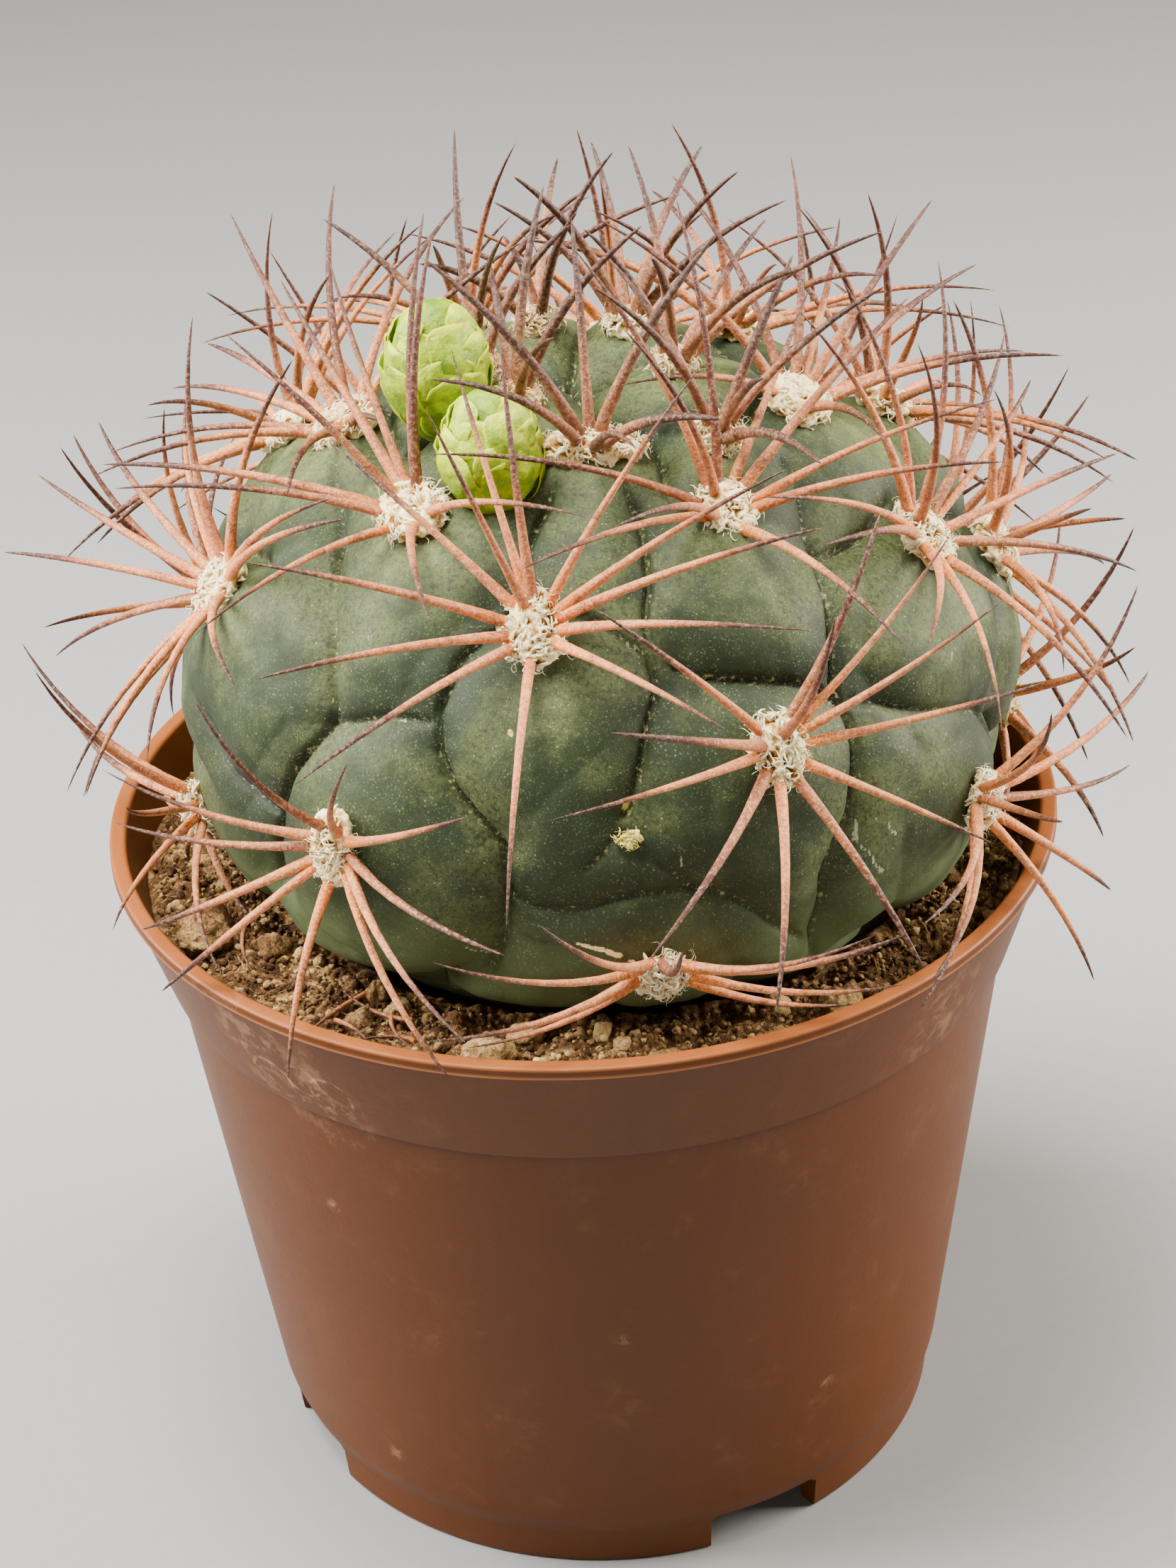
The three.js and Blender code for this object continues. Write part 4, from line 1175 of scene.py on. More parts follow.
SOIL = soil_mix("soil_mix", seen(46, 31, 17), seen(220, 182, 118))
soil_tone = 0.1 + 0.9 * np.abs(lumps(soil_points * [1, 1, 0.2], 1.2, 41, 2))
add_piece("soil_body", [(soil_points, soil_quads)], SOIL, "soil_mix", "soil", tone=soil_tone)
print("soil tones", soil_tone.min().round(2), "to", soil_tone.max().round(2))

# %% [markdown]
# A crumb is a ball of a few faces, stretched along three axes, dented by noise and laid on
# the soil with a random turn. Small crumbs outnumber large ones, as a sieve would show, so
# their sizes come from a chance to the third power.

# %% Balls, whole and dented
DENT, SQUASH_LOWEST, SQUASH_HIGHEST = 0.55, 0.5, 1.3


def ball(rows, columns):
    """A unit ball as a grid: rows from pole to pole, columns around."""
    down, turn = np.meshgrid(
        np.linspace(0, math.pi, rows), even_turns(columns), indexing="ij"
    )
    points = [np.sin(down) * np.cos(turn), np.sin(down) * np.sin(turn), np.cos(down)]
    return np.stack(points, axis=-1).reshape(-1, 3), grid_quads(rows, columns, around=True)


def scattered(places, sizes, turns, squash, seed, rows=4, columns=5):
    """Dented balls at places, each of its own size, turned about Z; one array of points."""
    unit, quads = ball(rows, columns)
    points = unit[None] * sizes[:, None, None] * squash[:, None, :]
    c, s = np.cos(turns)[:, None], np.sin(turns)[:, None]
    x, y = points[..., 0] * c - points[..., 1] * s, points[..., 0] * s + points[..., 1] * c
    points = np.stack([x, y, points[..., 2]], axis=-1)
    dents = 1 + DENT * lumps((points / sizes[:, None, None] + places[:, None]), 0.9, seed, 2)
    points = points * dents[..., None] + places[:, None]
    return points.reshape(-1, 3), repeated(quads, len(places), len(unit))


print("a crumb has", len(ball(4, 5)[1]), "faces")

# %% Crumbs
CRUMB_COUNT = 9000
FULL_TURN = 6.3


def crumb_places(count, rng):
    """Places on the open ring of soil, outside the stem and inside the pot."""
    azimuth = rng.uniform(0, 360, count * 3)
    r = rng.uniform(42, inner_radius(SOIL_Z) - 1.2, count * 3)
    x, y, _ = polar(azimuth, r, 0).T
    open_ring = np.hypot(x - STEM_X, y) > SOIL_RING
    x, y = x[open_ring][:count], y[open_ring][:count]
    return np.stack([x, y, soil_top(x, y)], axis=-1)


rng = np.random.default_rng(7)
crumbs = crumb_places(CRUMB_COUNT, rng)
crumb_sizes = 0.14 + 0.5 * rng.random(len(crumbs)) ** 3
crumb_squash = rng.uniform(SQUASH_LOWEST, SQUASH_HIGHEST, (len(crumbs), 3))
crumbs[:, 2] += 0.3 * crumb_sizes
crumb_points, crumb_quads = scattered(
    crumbs, crumb_sizes, rng.uniform(0, FULL_TURN, len(crumbs)), crumb_squash, 61
)
crumb_tone = np.repeat(rng.random(len(crumbs)) ** 1.3, len(crumb_points) // len(crumbs))
add_piece("soil_crumbs", [(crumb_points, crumb_quads)], SOIL, "soil_mix", tone=crumb_tone)
print(len(crumbs), "crumbs")

# %% [markdown]
# Some crumbs hold together as clods, tan where they are dry. A clod could be a heap of
# crumbs; a finer ball whose skin is broken by noise of two sizes looks the same from here.

# %% Clods
CLOD_COUNT, CLODS_AT_STEM, CLOD_ROWS, CLOD_COLUMNS = 70, 15, 14, 20


def crumbled(points, centres, depth, seed):
    """Points pushed out from their centre by two sizes of noise, in shares of their distance."""
    push = 0.7 * np.abs(lumps(points, 1.3, seed, 2)) + 0.5 * lumps(points, 0.6, seed + 1, 2)
    return points + depth * push[:, None] * (points - centres)


clods = crumb_places(CLOD_COUNT, rng)
at_stem = np.linspace(-44, 30, CLODS_AT_STEM) + rng.uniform(-2, 2, CLODS_AT_STEM)
against_stem = polar(at_stem, 46.4, 0) + [STEM_X, 0, 0]
against_stem[:, 2] = soil_top(against_stem[:, 0], against_stem[:, 1])
clods[:CLODS_AT_STEM] = against_stem
clod_sizes = 0.7 + 1.3 * rng.random(CLOD_COUNT) ** 2
clod_points, clod_quads = scattered(
    clods, clod_sizes, rng.uniform(0, FULL_TURN, CLOD_COUNT),
    rng.uniform(0.6, 1, (CLOD_COUNT, 3)), 63, CLOD_ROWS, CLOD_COLUMNS,
)
each = len(clod_points) // CLOD_COUNT
clod_points = crumbled(clod_points, np.repeat(clods, each, axis=0), 0.6, 64)
clod_tone = np.repeat(rng.uniform(0.25, 1.1, CLOD_COUNT), each)
print(CLOD_COUNT, "clods, the largest", clod_sizes.max().round(1), "mm from its middle")

# %% [markdown]
# Between the clods lie bits of peat fibre: thin bent threads, dark or tan. Hair curves would
# draw them too, but they aren't exported, so each is a tube of three sides, and all are worked
# out in one array, because there are hundreds. Clods and threads are one piece.

# %% Peat fibres
PEAT_COUNT, PEAT_SIDES, PEAT_STEPS = 420, 3, 6


def peat(count, rng):
    """Threads: start + way t + bend t² on the soil's level, in three-sided tapered rings."""
    x, y, _ = crumb_places(count, rng).T[..., None]
    heading, bend = rng.uniform(0, 2 * math.pi, (count, 1)), rng.uniform(-1, 1, (count, 1))
    t, long = np.linspace(0, 1, PEAT_STEPS), rng.uniform(1, 4.5, (count, 1))
    x = x + long * (np.cos(heading) * t - bend * np.sin(heading) * t**2 / 2)
    y = y + long * (np.sin(heading) * t + bend * np.cos(heading) * t**2 / 2)
    inward = np.minimum(1, (inner_radius(SOIL_Z) - 1) / np.hypot(x, y))
    z = soil_top(x * inward, y * inward) + 0.15 + rng.uniform(0, 0.7, (count, 1)) * t
    ring = even_turns(PEAT_SIDES)
    thick = rng.uniform(0.05, 0.13, (count, 1)) * np.sin(math.pi * t)
    aside, rise = thick[..., None] * np.cos(ring), thick[..., None] * np.sin(ring)
    points = np.stack([
        (x * inward)[..., None] - np.sin(heading)[..., None] * aside,
        (y * inward)[..., None] + np.cos(heading)[..., None] * aside, z[..., None] + rise,
    ], axis=-1)
    quads = grid_quads(PEAT_STEPS, PEAT_SIDES, around=True)
    return points.reshape(-1, 3), repeated(quads, count, PEAT_STEPS * PEAT_SIDES)


peat_points, peat_quads = peat(PEAT_COUNT, rng)
peat_tone = np.repeat(rng.uniform(0, 0.9, PEAT_COUNT), len(peat_points) // PEAT_COUNT)
add_piece(
    "soil_clods", [(clod_points, clod_quads), (peat_points, peat_quads)], SOIL, "soil_mix",
    tone=np.append(clod_tone, peat_tone),
)
print(CLOD_COUNT, "clods and", PEAT_COUNT, "fibres")

# %% [markdown]
# Five lumps of grit, the largest like a pea, are pieces of the packed model, so each fine lump
# has to lie where its packed one does. A scan would be the surest likeness; here it is the
# crumb's ball again, with a hundred times the faces, because the photograph shows its pits.

# %% Grit
GRIT_ROWS, GRIT_COLUMNS, GRIT_SQUASH = 34, 48, (1.05, 0.8, 0.62)
GRIT = {  # azimuth, distance from the axis, half length, turn
    "grit_front_left": (-14, 51, 2.6, 20), "grit_front_right": (34, 52.5, 3.2, 70),
    "grit_front_small": (9, 53, 1.9, 130), "grit_left": (-66, 51.5, 4, 100),
    "grit_back": (160, 50, 3, 40),
}
GRIT_STONE = soil_mix("grit", seen(70, 46, 24), seen(228, 188, 120))


def add_grit(name, azimuth, out, size, turn):
    """A finely dented ball, squashed, its middle 0.3 of its size above the soil."""
    at = polar(azimuth, out, SOIL_Z + 0.3 * size)[None]
    points, quads = scattered(
        at, np.array([size]), np.radians([turn]), np.array([GRIT_SQUASH]), 71,
        GRIT_ROWS, GRIT_COLUMNS,
    )
    points = crumbled(points, at, 0.32, 72)
    tone = 0.55 + 0.3 * lumps(points, 1.4, 73, 3)
    return add_piece(name + "_lump", [(points, quads)], GRIT_STONE, "grit", name, tone=tone)


for name, place in GRIT.items():
    add_grit(name, *place)
print("grit", list(GRIT))

# %% [markdown]
# ## Where each spine runs
#
# A spine leaves its areole at a clock angle and a lean, and bends towards the stem in an arc of
# 35 degrees. On the plant, spines grow past each other. The model settled that by trying small
# turns, leans and cuts in length until a spine cleared everything placed before it. The same
# search is run again here, so that every fine spine lies on its packed one.

# %% Spine paths
SPINE_RADIUS, YOUNG_SPINE_RADIUS, SPINE_CURL = 0.85, 0.6, 35
SPINE_RISE, FOOT_SPREAD = 1.1, 0.6


def model_surface(azimuth, angle):
    """The packed stem's surface: the same creases, as wide as a fifth of the tubercle pair."""
    p = globe(azimuth, angle)
    near, after = np.sort(np.linalg.norm(MIDDLES - p, axis=1))[:2]
    width = near + after
    sunk = 0.2 * width * math.exp(-(after - near) / (0.2 * width)) + crown_dimple(angle)
    return p - globe_normal(p) * (sunk if angle < NECK_ANGLE - 10 else 3)


def areole_frame(azimuth, angle, wool):
    """Where an areole sits, and its axes: right, up the rib, and out of the stem."""
    out = globe_normal(globe(azimuth, angle))
    up = np.array([0, 0, 1]) - out * out[2]
    up = up / np.linalg.norm(up)
    return {"at": model_surface(azimuth, angle), "wool": wool,
            "axes": np.array([np.cross(up, out), up, out])}


def spine_path(frame, spine, share):
    """Points at shares of the arc: sines and cosines of the turning lean, times its radius."""
    clock, lean, length = spine
    right, up, out = frame["axes"]
    s, c = math.sin(math.radians(clock)), math.cos(math.radians(clock))
    spread = FOOT_SPREAD * min(1, lean / 50)
    foot = frame["at"] + spread * (frame["wool"][0] * s * right + frame["wool"][1] * c * up)
    start = math.radians(lean)
    turn = (start + math.radians(SPINE_CURL) * np.asarray(share))[:, None]
    radius = length / math.radians(SPINE_CURL)
    rise = SPINE_RISE + radius * (np.sin(turn) - math.sin(start))
    return foot + out * rise + (up * c + right * s) * radius * (math.cos(start) - np.cos(turn))


def model_radius(share, base):
    """The packed spine's radius: its foot's, less 0.78 of it by the share's power 1.8."""
    return base * (1 - 0.78 * np.asarray(share) ** 1.8)


front = areole_frame(*AREOLES[0][:2], WOOL)
print("first areole at", front["at"].round(1), "looks along", front["axes"][2].round(2))

# %% [markdown]
# Areoles that can't be seen need spines as well. A new random draw each time would move them
# whenever the script changed, so each number comes from a chance that depends only on which
# areole and which spine it is: an even ring, then small shifts.

# %% Spines of the back and the crown


def ring_of_spines(number, short):
    """9 to 13 even spines, each shifted, leaned and cut by its own chance, and one upright."""
    count = (7 if short else 9) + int(chance(number, 1) * 3)
    ring = [
        (360 * (i + 0.6 * (chance(number, i + 2) - 0.5)) / count,
         46 + 22 * chance(number, i + 20), (22 if short else 26) + 6 * chance(number, i + 40))
        for i in range(count)
    ]
    return [*ring, (40 * (chance(number, 60) - 0.5), 15 + 15 * chance(number, 61), 27)]


def young_spines(number):
    """5 or 6 short spines close to upright, shifted in the same way."""
    count = 5 + int(chance(number, 1) * 2)
    return [
        (360 * (i + 0.5 * (chance(number, i + 2) - 0.5)) / count,
         14 + 24 * chance(number, i + 20), 20 + 9 * chance(number, i + 40))
        for i in range(count)
    ]


print("first ring", [round(x) for x in ring_of_spines(14, False)[0]])

# %% [markdown]
# A spine is clear when every sample along it keeps off the lip, the soil, the globe and the
# balls that stand for every pad, bud and spine before it. Testing mesh against mesh would be
# exact but slow, and the packed model used these same balls.

# %% What a spine must clear
SPINE_SPACING, STEM_SPACING = 1, 1.4
LIP_CLEARANCE, SOIL_CLEARANCE = 1.6, 2.4
SAMPLES, FREE_FROM = 20, 0.3
SHARES = np.linspace(0, 1, SAMPLES + 1)
TRIALS = list(itertools.product(
    (1, 0.88, 0.75, 0.6, 0.45), (0, -5, 5, -10, 10, -16, 16, -24), (0, 4, -4, 8, -8, 13, -13)
))


def hits_pot_soil_or_stem(path):
    """True if any point is too near the lip, the soil, or, past its first third, the globe."""
    x, y, z = path.T
    r = np.hypot(x, y)
    over_lip = np.abs(r - LIP_RADIUS + LIP_WIDTH / 2) < LIP_WIDTH / 2 + LIP_CLEARANCE
    inside = r <= LIP_INNER_RADIUS - LIP_CLEARANCE
    low = over_lip & (z < POT_HEIGHT + LIP_CLEARANCE) | inside & (z < SOIL_Z + SOIL_CLEARANCE)
    grown = np.array([STEM_RADIUS, STEM_RADIUS, STEM_HALF_HEIGHT]) + STEM_SPACING
    in_stem = (((path - [STEM_X, 0, STEM_CENTRE_Z]) / grown) ** 2).sum(axis=1) < 1
    return low.any() or (in_stem & (SHARES >= FREE_FROM - 1e-9)).any()


def is_clear(path, base, others):
    """Every sample keeps SPINE_SPACING from the surface of every other piece's balls."""
    if hits_pot_soil_or_stem(path):
        return False
    gaps = np.linalg.norm(path[:, None] - others[None, :, :3], axis=-1)
    return (gaps > model_radius(SHARES, base)[:, None] + others[:, 3] + SPINE_SPACING).all()


def cleared(frame, spine, base, others):
    """The first trial of length share, tilt and turn that is clear, or None."""
    clock, lean, length = spine
    for share, tilt, turn in TRIALS:
        tried = (clock + turn, lean + tilt, length * share)
        if is_clear(spine_path(frame, tried, SHARES), base, others):
            return tried
    return None


print(len(TRIALS), "trials for a spine that is in the way")

# %% [markdown]
# Buds come first and stay where they are; then the areoles are settled in the model's order,
# and each spine that clears is in the way of the later ones.

# %% Settling the spines
BALLS_PER_BUD, IN_REACH, PAD_INSET = 5, 60, 0.6


def bud_foot(azimuth, angle):
    """Where a bud stands: the model's surface, and 1 mm further in."""
    p = globe(azimuth, angle)
    return model_surface(azimuth, angle) - globe_normal(p)


def bud_balls(azimuth, angle, radius, height):
    """Five balls up a bud's axis, as wide as the bud is there: x, y, z, radius."""
    rise = np.array([0.15, 0.35, 0.55, 0.75, 0.9])
    wide = radius * 1.06 * np.sqrt(1 - (2 * rise - 1) ** 2) + 0.6
    foot = np.tile(bud_foot(azimuth, angle), (BALLS_PER_BUD, 1))
    foot[:, 2] += rise * height
    return np.column_stack([foot, wide])


def areole_list():
    """Every areole: its name, frame, wished spines and the radius of a spine's foot."""
    found = []
    for i, (azimuth, angle, spines) in enumerate(AREOLES):
        wished = spines if isinstance(spines, list) else ring_of_spines(i, spines == "short")
        frame = areole_frame(azimuth, angle, WOOL)
        found.append((f"areole_{i + 1:02}", frame, wished, SPINE_RADIUS))
    for i, place in enumerate(YOUNG_AREOLES):
        frame = areole_frame(*place, YOUNG_WOOL)
        found.append((f"young_areole_{i + 1}", frame, young_spines(i + 40), YOUNG_SPINE_RADIUS))
    return found


def settle_spines(areoles):
    """Clear the spines in order; each cleared one joins what the later ones must avoid."""
    owners = np.repeat(-1, BALLS_PER_BUD * len(BUDS))
    balls = np.concatenate([bud_balls(*bud) for bud in BUDS.values()])
    pads = [[*frame["at"], frame["wool"][1] - PAD_INSET] for _, frame, _, _ in areoles]
    balls, owners = np.vstack([balls, pads]), np.append(owners, np.arange(len(areoles)))
    settled = []
    for number, (_, frame, wished, base) in enumerate(areoles):
        near = np.linalg.norm(balls[:, :3] - frame["at"], axis=1) < IN_REACH
        others = balls[near & (owners != number)]
        kept = [s for s in (cleared(frame, w, base, others) for w in wished) if s]
        paths = [np.column_stack([spine_path(frame, s, SHARES), model_radius(SHARES, base)])
                 for s in kept]
        balls = np.vstack([balls, *paths])
        owners = np.append(owners, np.repeat(number, len(kept) * len(SHARES)))
        settled.append(kept)
    return settled


areoles = areole_list()
settled = settle_spines(areoles)
print(sum(map(len, settled)), "spines on", len(areoles), "areoles")

# %% [markdown]
# ## Spines
#
# A spine is a hardened leaf: an awl, round in section, salmon at the base, mottled along its
# length, and dark at the point. A bevelled curve would draw it, but gives no say in where its
# faces go. Each is a tube of ten sides along its path, whose radius shrinks as a power of what
# is left of its length, slowly and then fast, and it closes to a point at both ends.

# %% Spine tubes
SPINE_ROWS = np.array([0, 0.001, 0.03, 0.12, 0.25, 0.38, 0.5, 0.62, 0.74, 0.84, 0.92, 0.97, 1])
SPINE_SIDES, SLIMNESS = 10, 0.74


def tube(centre, radius, across):
    """Rings about a path: across and its square-on partner, times the radius at each row."""
    along = unit_length(np.gradient(centre, axis=0))
    partner = unit_length(np.cross(across, along))
    turn = even_turns(SPINE_SIDES)
    ring = np.cos(turn)[:, None] * across + np.sin(turn)[:, None] * partner[:, None]
    points = centre[:, None] + radius[:, None, None] * ring
    return points.reshape(-1, 3), grid_quads(len(centre), SPINE_SIDES, around=True)


def awl(share, base, taper):
    """Radius: SLIMNESS of the foot's, times (1 - share)^taper, swollen a little in the wool."""
    swollen = 1 + 0.14 * np.exp(-(((share - 0.08) / 0.09) ** 2))
    return SLIMNESS * base * np.clip(1 - share, 0, None) ** taper * swollen * (share > 0)


print("radius at half a spine's length", awl(0.5, SPINE_RADIUS, 0.6).round(2), "mm")

# %% [markdown]
# Spines near the growing point are darker, most of all those that stand upright; the rest
# have weathered. The mesh carries each point's share of the length, a tone of its spine's own
# and that age, so one finish can colour all 315 spines, and no two of them alike.

# %% Shares, tones and ages
YOUNG_STOUTER, YOUNG_TAPER = 1.55, 0.75


def age_of(frame, spine):
    """How dark a spine is: more at the crown, if it stands upright, and if it points up."""
    clock, lean, _ = spine
    upright = smoothstep(-67, -35, -lean) * (0.55 + 0.45 * math.cos(math.radians(clock)))
    return float(np.clip(0.45 * smoothstep(132, 149, frame["at"][2]) + upright, 0, 1))


def spine_tubes(frame, spines, base, seed):
    """All spines of an areole as surfaces, with the share, tone and age at every point."""
    surfaces, along, tones, ages = [], [], [], []
    stouter, slower = (YOUNG_STOUTER, YOUNG_TAPER) if base < SPINE_RADIUS else (1, 1)
    right, up, _ = frame["axes"]
    for i, spine in enumerate(spines):
        clock = math.radians(spine[0])
        across = right * math.cos(clock) - up * math.sin(clock)
        stout = base * (0.88 + 0.2 * chance(seed, i + 5)) * stouter
        taper = (0.45 + 0.28 * chance(seed, i + 15)) * slower
        radius = awl(SPINE_ROWS, stout, taper)
        surfaces.append(tube(spine_path(frame, spine, SPINE_ROWS), radius, across))
        along.append(np.repeat(SPINE_ROWS, SPINE_SIDES))
        tones.append(np.full(len(along[-1]), chance(seed, i + 70)))
        aged = age_of(frame, spine) * (0.5 + 0.5 * chance(seed, i + 90))
        ages.append(np.full(len(along[-1]), aged))
    return surfaces, *map(np.concatenate, (along, tones, ages))


ages = [age_of(frame, spine) for (_, frame, _, _), kept in zip(areoles, settled) for spine in kept]
print("ages from", round(min(ages), 2), "to", round(max(ages), 2))

# %% Spine finish


def spine_finish(name, foot, shaft, shade, tip):
    """A ramp from foot to tip that tone, age and noise push along, then stains and scurf."""
    spine = Finish(name)
    along, tone, age = (spine.attribute(key) for key in ("along", "tone", "age"))
    mottle, grain, flake = spine.noise(3, 4, 0.7), spine.noise(0.3, 3), spine.noise(0.5, 4, 0.7)
    reach = (along + (mottle - 0.5) * 0.16 + (tone - 0.5) * 0.3 + age * 0.28).limited()
    stops = (0, foot), (0.22, shaft), (0.5, shaft), (0.74, shade), (0.95, tip)
    dull = tone.between(0.72, 0.92) * 0.55
    aged = (age * (0.5 + along * 0.7) + dull + (mottle - 0.5) * 0.6).limited()
    stained = (mottle.between(0.5, 0.7) * 0.38 + grain.between(0.56, 0.4) * 0.4).limited()
    scurf = flake.between(0.48, 0.62) * (1 - along * 0.7) * (1 - age * 0.5)
    colour = spine.layers(
        spine.ramp(reach, *stops), (aged * 0.85, shade), (stained, shade),
        ((scurf * 0.34).limited(), seen(252, 206, 160)),
    )
    rough = spine.bump(flake + grain * 0.6, 0.16)
    return spine.shade({
        "Base Color": colour, "Roughness": 0.42 + grain * 0.3, "Normal": rough,
        "Specular IOR Level": 0.36,
    })


SPINE_SKIN = spine_finish(
    "spines", seen(222, 122, 38), seen(203, 122, 71), seen(76, 35, 20), seen(24, 14, 11)
)
YOUNG_SPINE_SKIN = spine_finish(
    "young_spines", seen(190, 104, 50), seen(168, 106, 70), seen(66, 35, 23), seen(24, 14, 12)
)
print("nodes in the spines' finish:", len(SPINE_SKIN.node_tree.nodes))

# %% [markdown]
# The spines of one areole are one piece, as they are one node in the packed model, and the
# seven young areoles have the darker finish.

# %% Placing the spines


def add_spines(name, frame, spines, base, seed):
    """One piece of all the areole's tubes."""
    surfaces, along, tone, age = spine_tubes(frame, spines, base, seed)
    young = name.startswith("young")
    skin, slot = (YOUNG_SPINE_SKIN, "young_spines") if young else (SPINE_SKIN, "spines")
    return add_piece(
        name + "_spines", surfaces, skin, slot, name, along=along, tone=tone, age=age
    )


for seed, ((name, frame, _, base), spines) in enumerate(zip(areoles, settled)):
    add_spines(name, frame, spines, base, seed)
print("spine pieces", len(areoles))

# %% [markdown]
# ## Wool
#
# The cushion of an areole is felted wool: a low pad with crumpled ridges, collars that stand
# up round the spines' feet, and loose fibres at its edge. A particle system would make
# thousands of hairs that bake badly, so the pad itself carries the ridges as real geometry,
# and about two hundred curled strands break its outline.

# %% Wool pads
PAD_ROWS, PAD_COLUMNS, COLLAR_WIDTH, RIDGE_SHARPNESS = 46, 72, 1.5, 2.6
OUT_OF_WOOL = 0.07  # share of a spine's length that the wool hides
WIDE_PADS = {  # widths across and along the rib, in those of the packed pad
    "young_areole_1": (2.2, 0.8), "areole_12": (1.2, 0.8), "areole_07": (0.8, 0.68),
    "areole_06": (0.68, 0.92), "areole_04": (0.78, 0.88), "areole_08": (0.6, 0.78),
    "areole_10": (0.6, 0.7), "areole_02": (1.15, 0.8), "areole_03": (1.05, 0.85),
}


def spine_feet(frame, spines):
    """Where each spine comes out of the wool: its path at the share OUT_OF_WOOL."""
    return np.array([spine_path(frame, spine, [OUT_OF_WOOL])[0] for spine in spines])


def ridges(points, size, seed):
    """1 on the crests and 0 in the crevices: one minus the noise's distance from zero."""
    return 1 - np.minimum(1, RIDGE_SHARPNESS * np.abs(lumps(points, size, seed, 3)))


def half_sizes(frame, stretch):
    """The packed pad's half sizes, stretched across and along the rib."""
    return np.array(frame["wool"]) * [*stretch, 1]


def wool_pad(frame, feet, stretch, seed):
    """An ellipsoid, raised by ridges and by a bell-shaped collar at each spine's foot."""
    unit, quads = ball(PAD_ROWS, PAD_COLUMNS)
    half = half_sizes(frame, stretch)
    flat = (unit * half + [0, 0, 0.6]) @ frame["axes"] + frame["at"]
    crest = ridges(flat + 0.5 * lumps(flat, 2, seed + 9)[:, None], 2.1, seed)
    fine = ridges(flat, 0.8, seed + 40)
    away = np.linalg.norm(flat[:, None] - feet, axis=-1).min(axis=1)
    collar = np.exp(-((away / COLLAR_WIDTH) ** 2))
    rim = 0.9 * lumps(flat, 3, seed + 20, 2) * (1 - np.abs(unit[:, 2]))
    lift = 0.8 * crest + 0.3 * fine + 0.5 * collar + rim - 0.95
    points = flat + (lift[:, None] * unit_length(unit / half)) @ frame["axes"]
    # Painted shade round each spine's foot: the felt is painted darkest where the spine leaves it.
    hole = 1 - smoothstep(COLLAR_WIDTH / 2, COLLAR_WIDTH, away)
    # The third value is darker in the felt's crevices, as dirt and painted shade.
    return points, quads, np.maximum(1.3 - np.clip(0.8 * crest + 0.35 * fine, 0, 1), hole)


print("pad of", PAD_ROWS * PAD_COLUMNS, "points")

# %% [markdown]
# The strands are of two kinds: thick curls matted over the pad, and thin strays that catch
# the light. Each starts on the pad and runs along it and a little out of it, while a helix
# that widens with its length curls it. All strands of a pad are worked out as one array.

# %% Loose fibres
FIBRE_SHARES = np.linspace(0, 1, 8)
FIBRE_SIDES = 3
BENT_BACK = 0.35  # how far a strand's end bends back to the pad, in its own length
CURLS = {"count": 170, "length": (1, 2.4), "thickness": (0.12, 0.3), "rise": 0.5}
STRAYS = {"count": 34, "length": (1.5, 3.6), "thickness": (0.035, 0.07), "rise": 1.6}
DRY_HAIRS = {"count": 60, "length": (0.5, 1.3), "thickness": (0.05, 0.12), "rise": 0.4}


def fibres(frame, stretch, rng, count, length, thickness, rise):
    """Curled strands on the pad: a way along it and `rise` out of it, plus a widening helix."""
    half = half_sizes(frame, stretch)
    turn, lift = rng.uniform(0, 2 * math.pi, count), rng.uniform(0.02, 1, count)
    flat = np.sqrt(1 - lift**2)
    unit = np.stack([flat * np.cos(turn), flat * np.sin(turn), lift], axis=1)
    start = unit * half * 0.9 + [0, 0, 0.45]
    outward = unit_length(unit / half)
    along = np.cross(outward, rng.normal(0, 1, (count, 3)))
    way = unit_length(unit_length(along) + rise * outward)
    side = unit_length(np.cross(way, outward + 0.01 * along))
    other = np.cross(way, side)
    each = (count, 1, 1)
    long = rng.uniform(*length, each)
    t = FIBRE_SHARES[None, :, None]
    angle = rng.uniform(0, FULL_TURN, each) + t * rng.uniform(3, 8, each)
    curl = rng.uniform(0.15, 0.4, each) * long * t
    centre = start[:, None] + long * (way[:, None] * t - BENT_BACK * outward[:, None] * t**2)
    centre = centre + curl * (np.cos(angle) * side[:, None] + np.sin(angle) * other[:, None])
    ring = even_turns(FIBRE_SIDES)[:, None]
    thick = rng.uniform(*thickness, each) * np.sin(math.pi * (0.05 + 0.95 * t)) * (t > 0)
    rim = np.cos(ring) * side[:, None, None] + np.sin(ring) * other[:, None, None]
    points = centre[:, :, None] + thick[..., None] * rim
    quads = grid_quads(len(FIBRE_SHARES), FIBRE_SIDES, around=True)
    placed = points.reshape(-1, 3) @ frame["axes"] + frame["at"]
    return placed, repeated(quads, count, len(FIBRE_SHARES) * FIBRE_SIDES)


print("strands on a pad", CURLS["count"] + STRAYS["count"])

# %% [markdown]
# Felt is matt, cream on the crests and brown in the crevices, where dirt and shade gather.
# Light alone wouldn't make crevices that dark, so the mesh carries how deep each point lies
# and a ramp colours it. Some pads at the crown are warmer, stained by what grew there.

# %% Wool finish


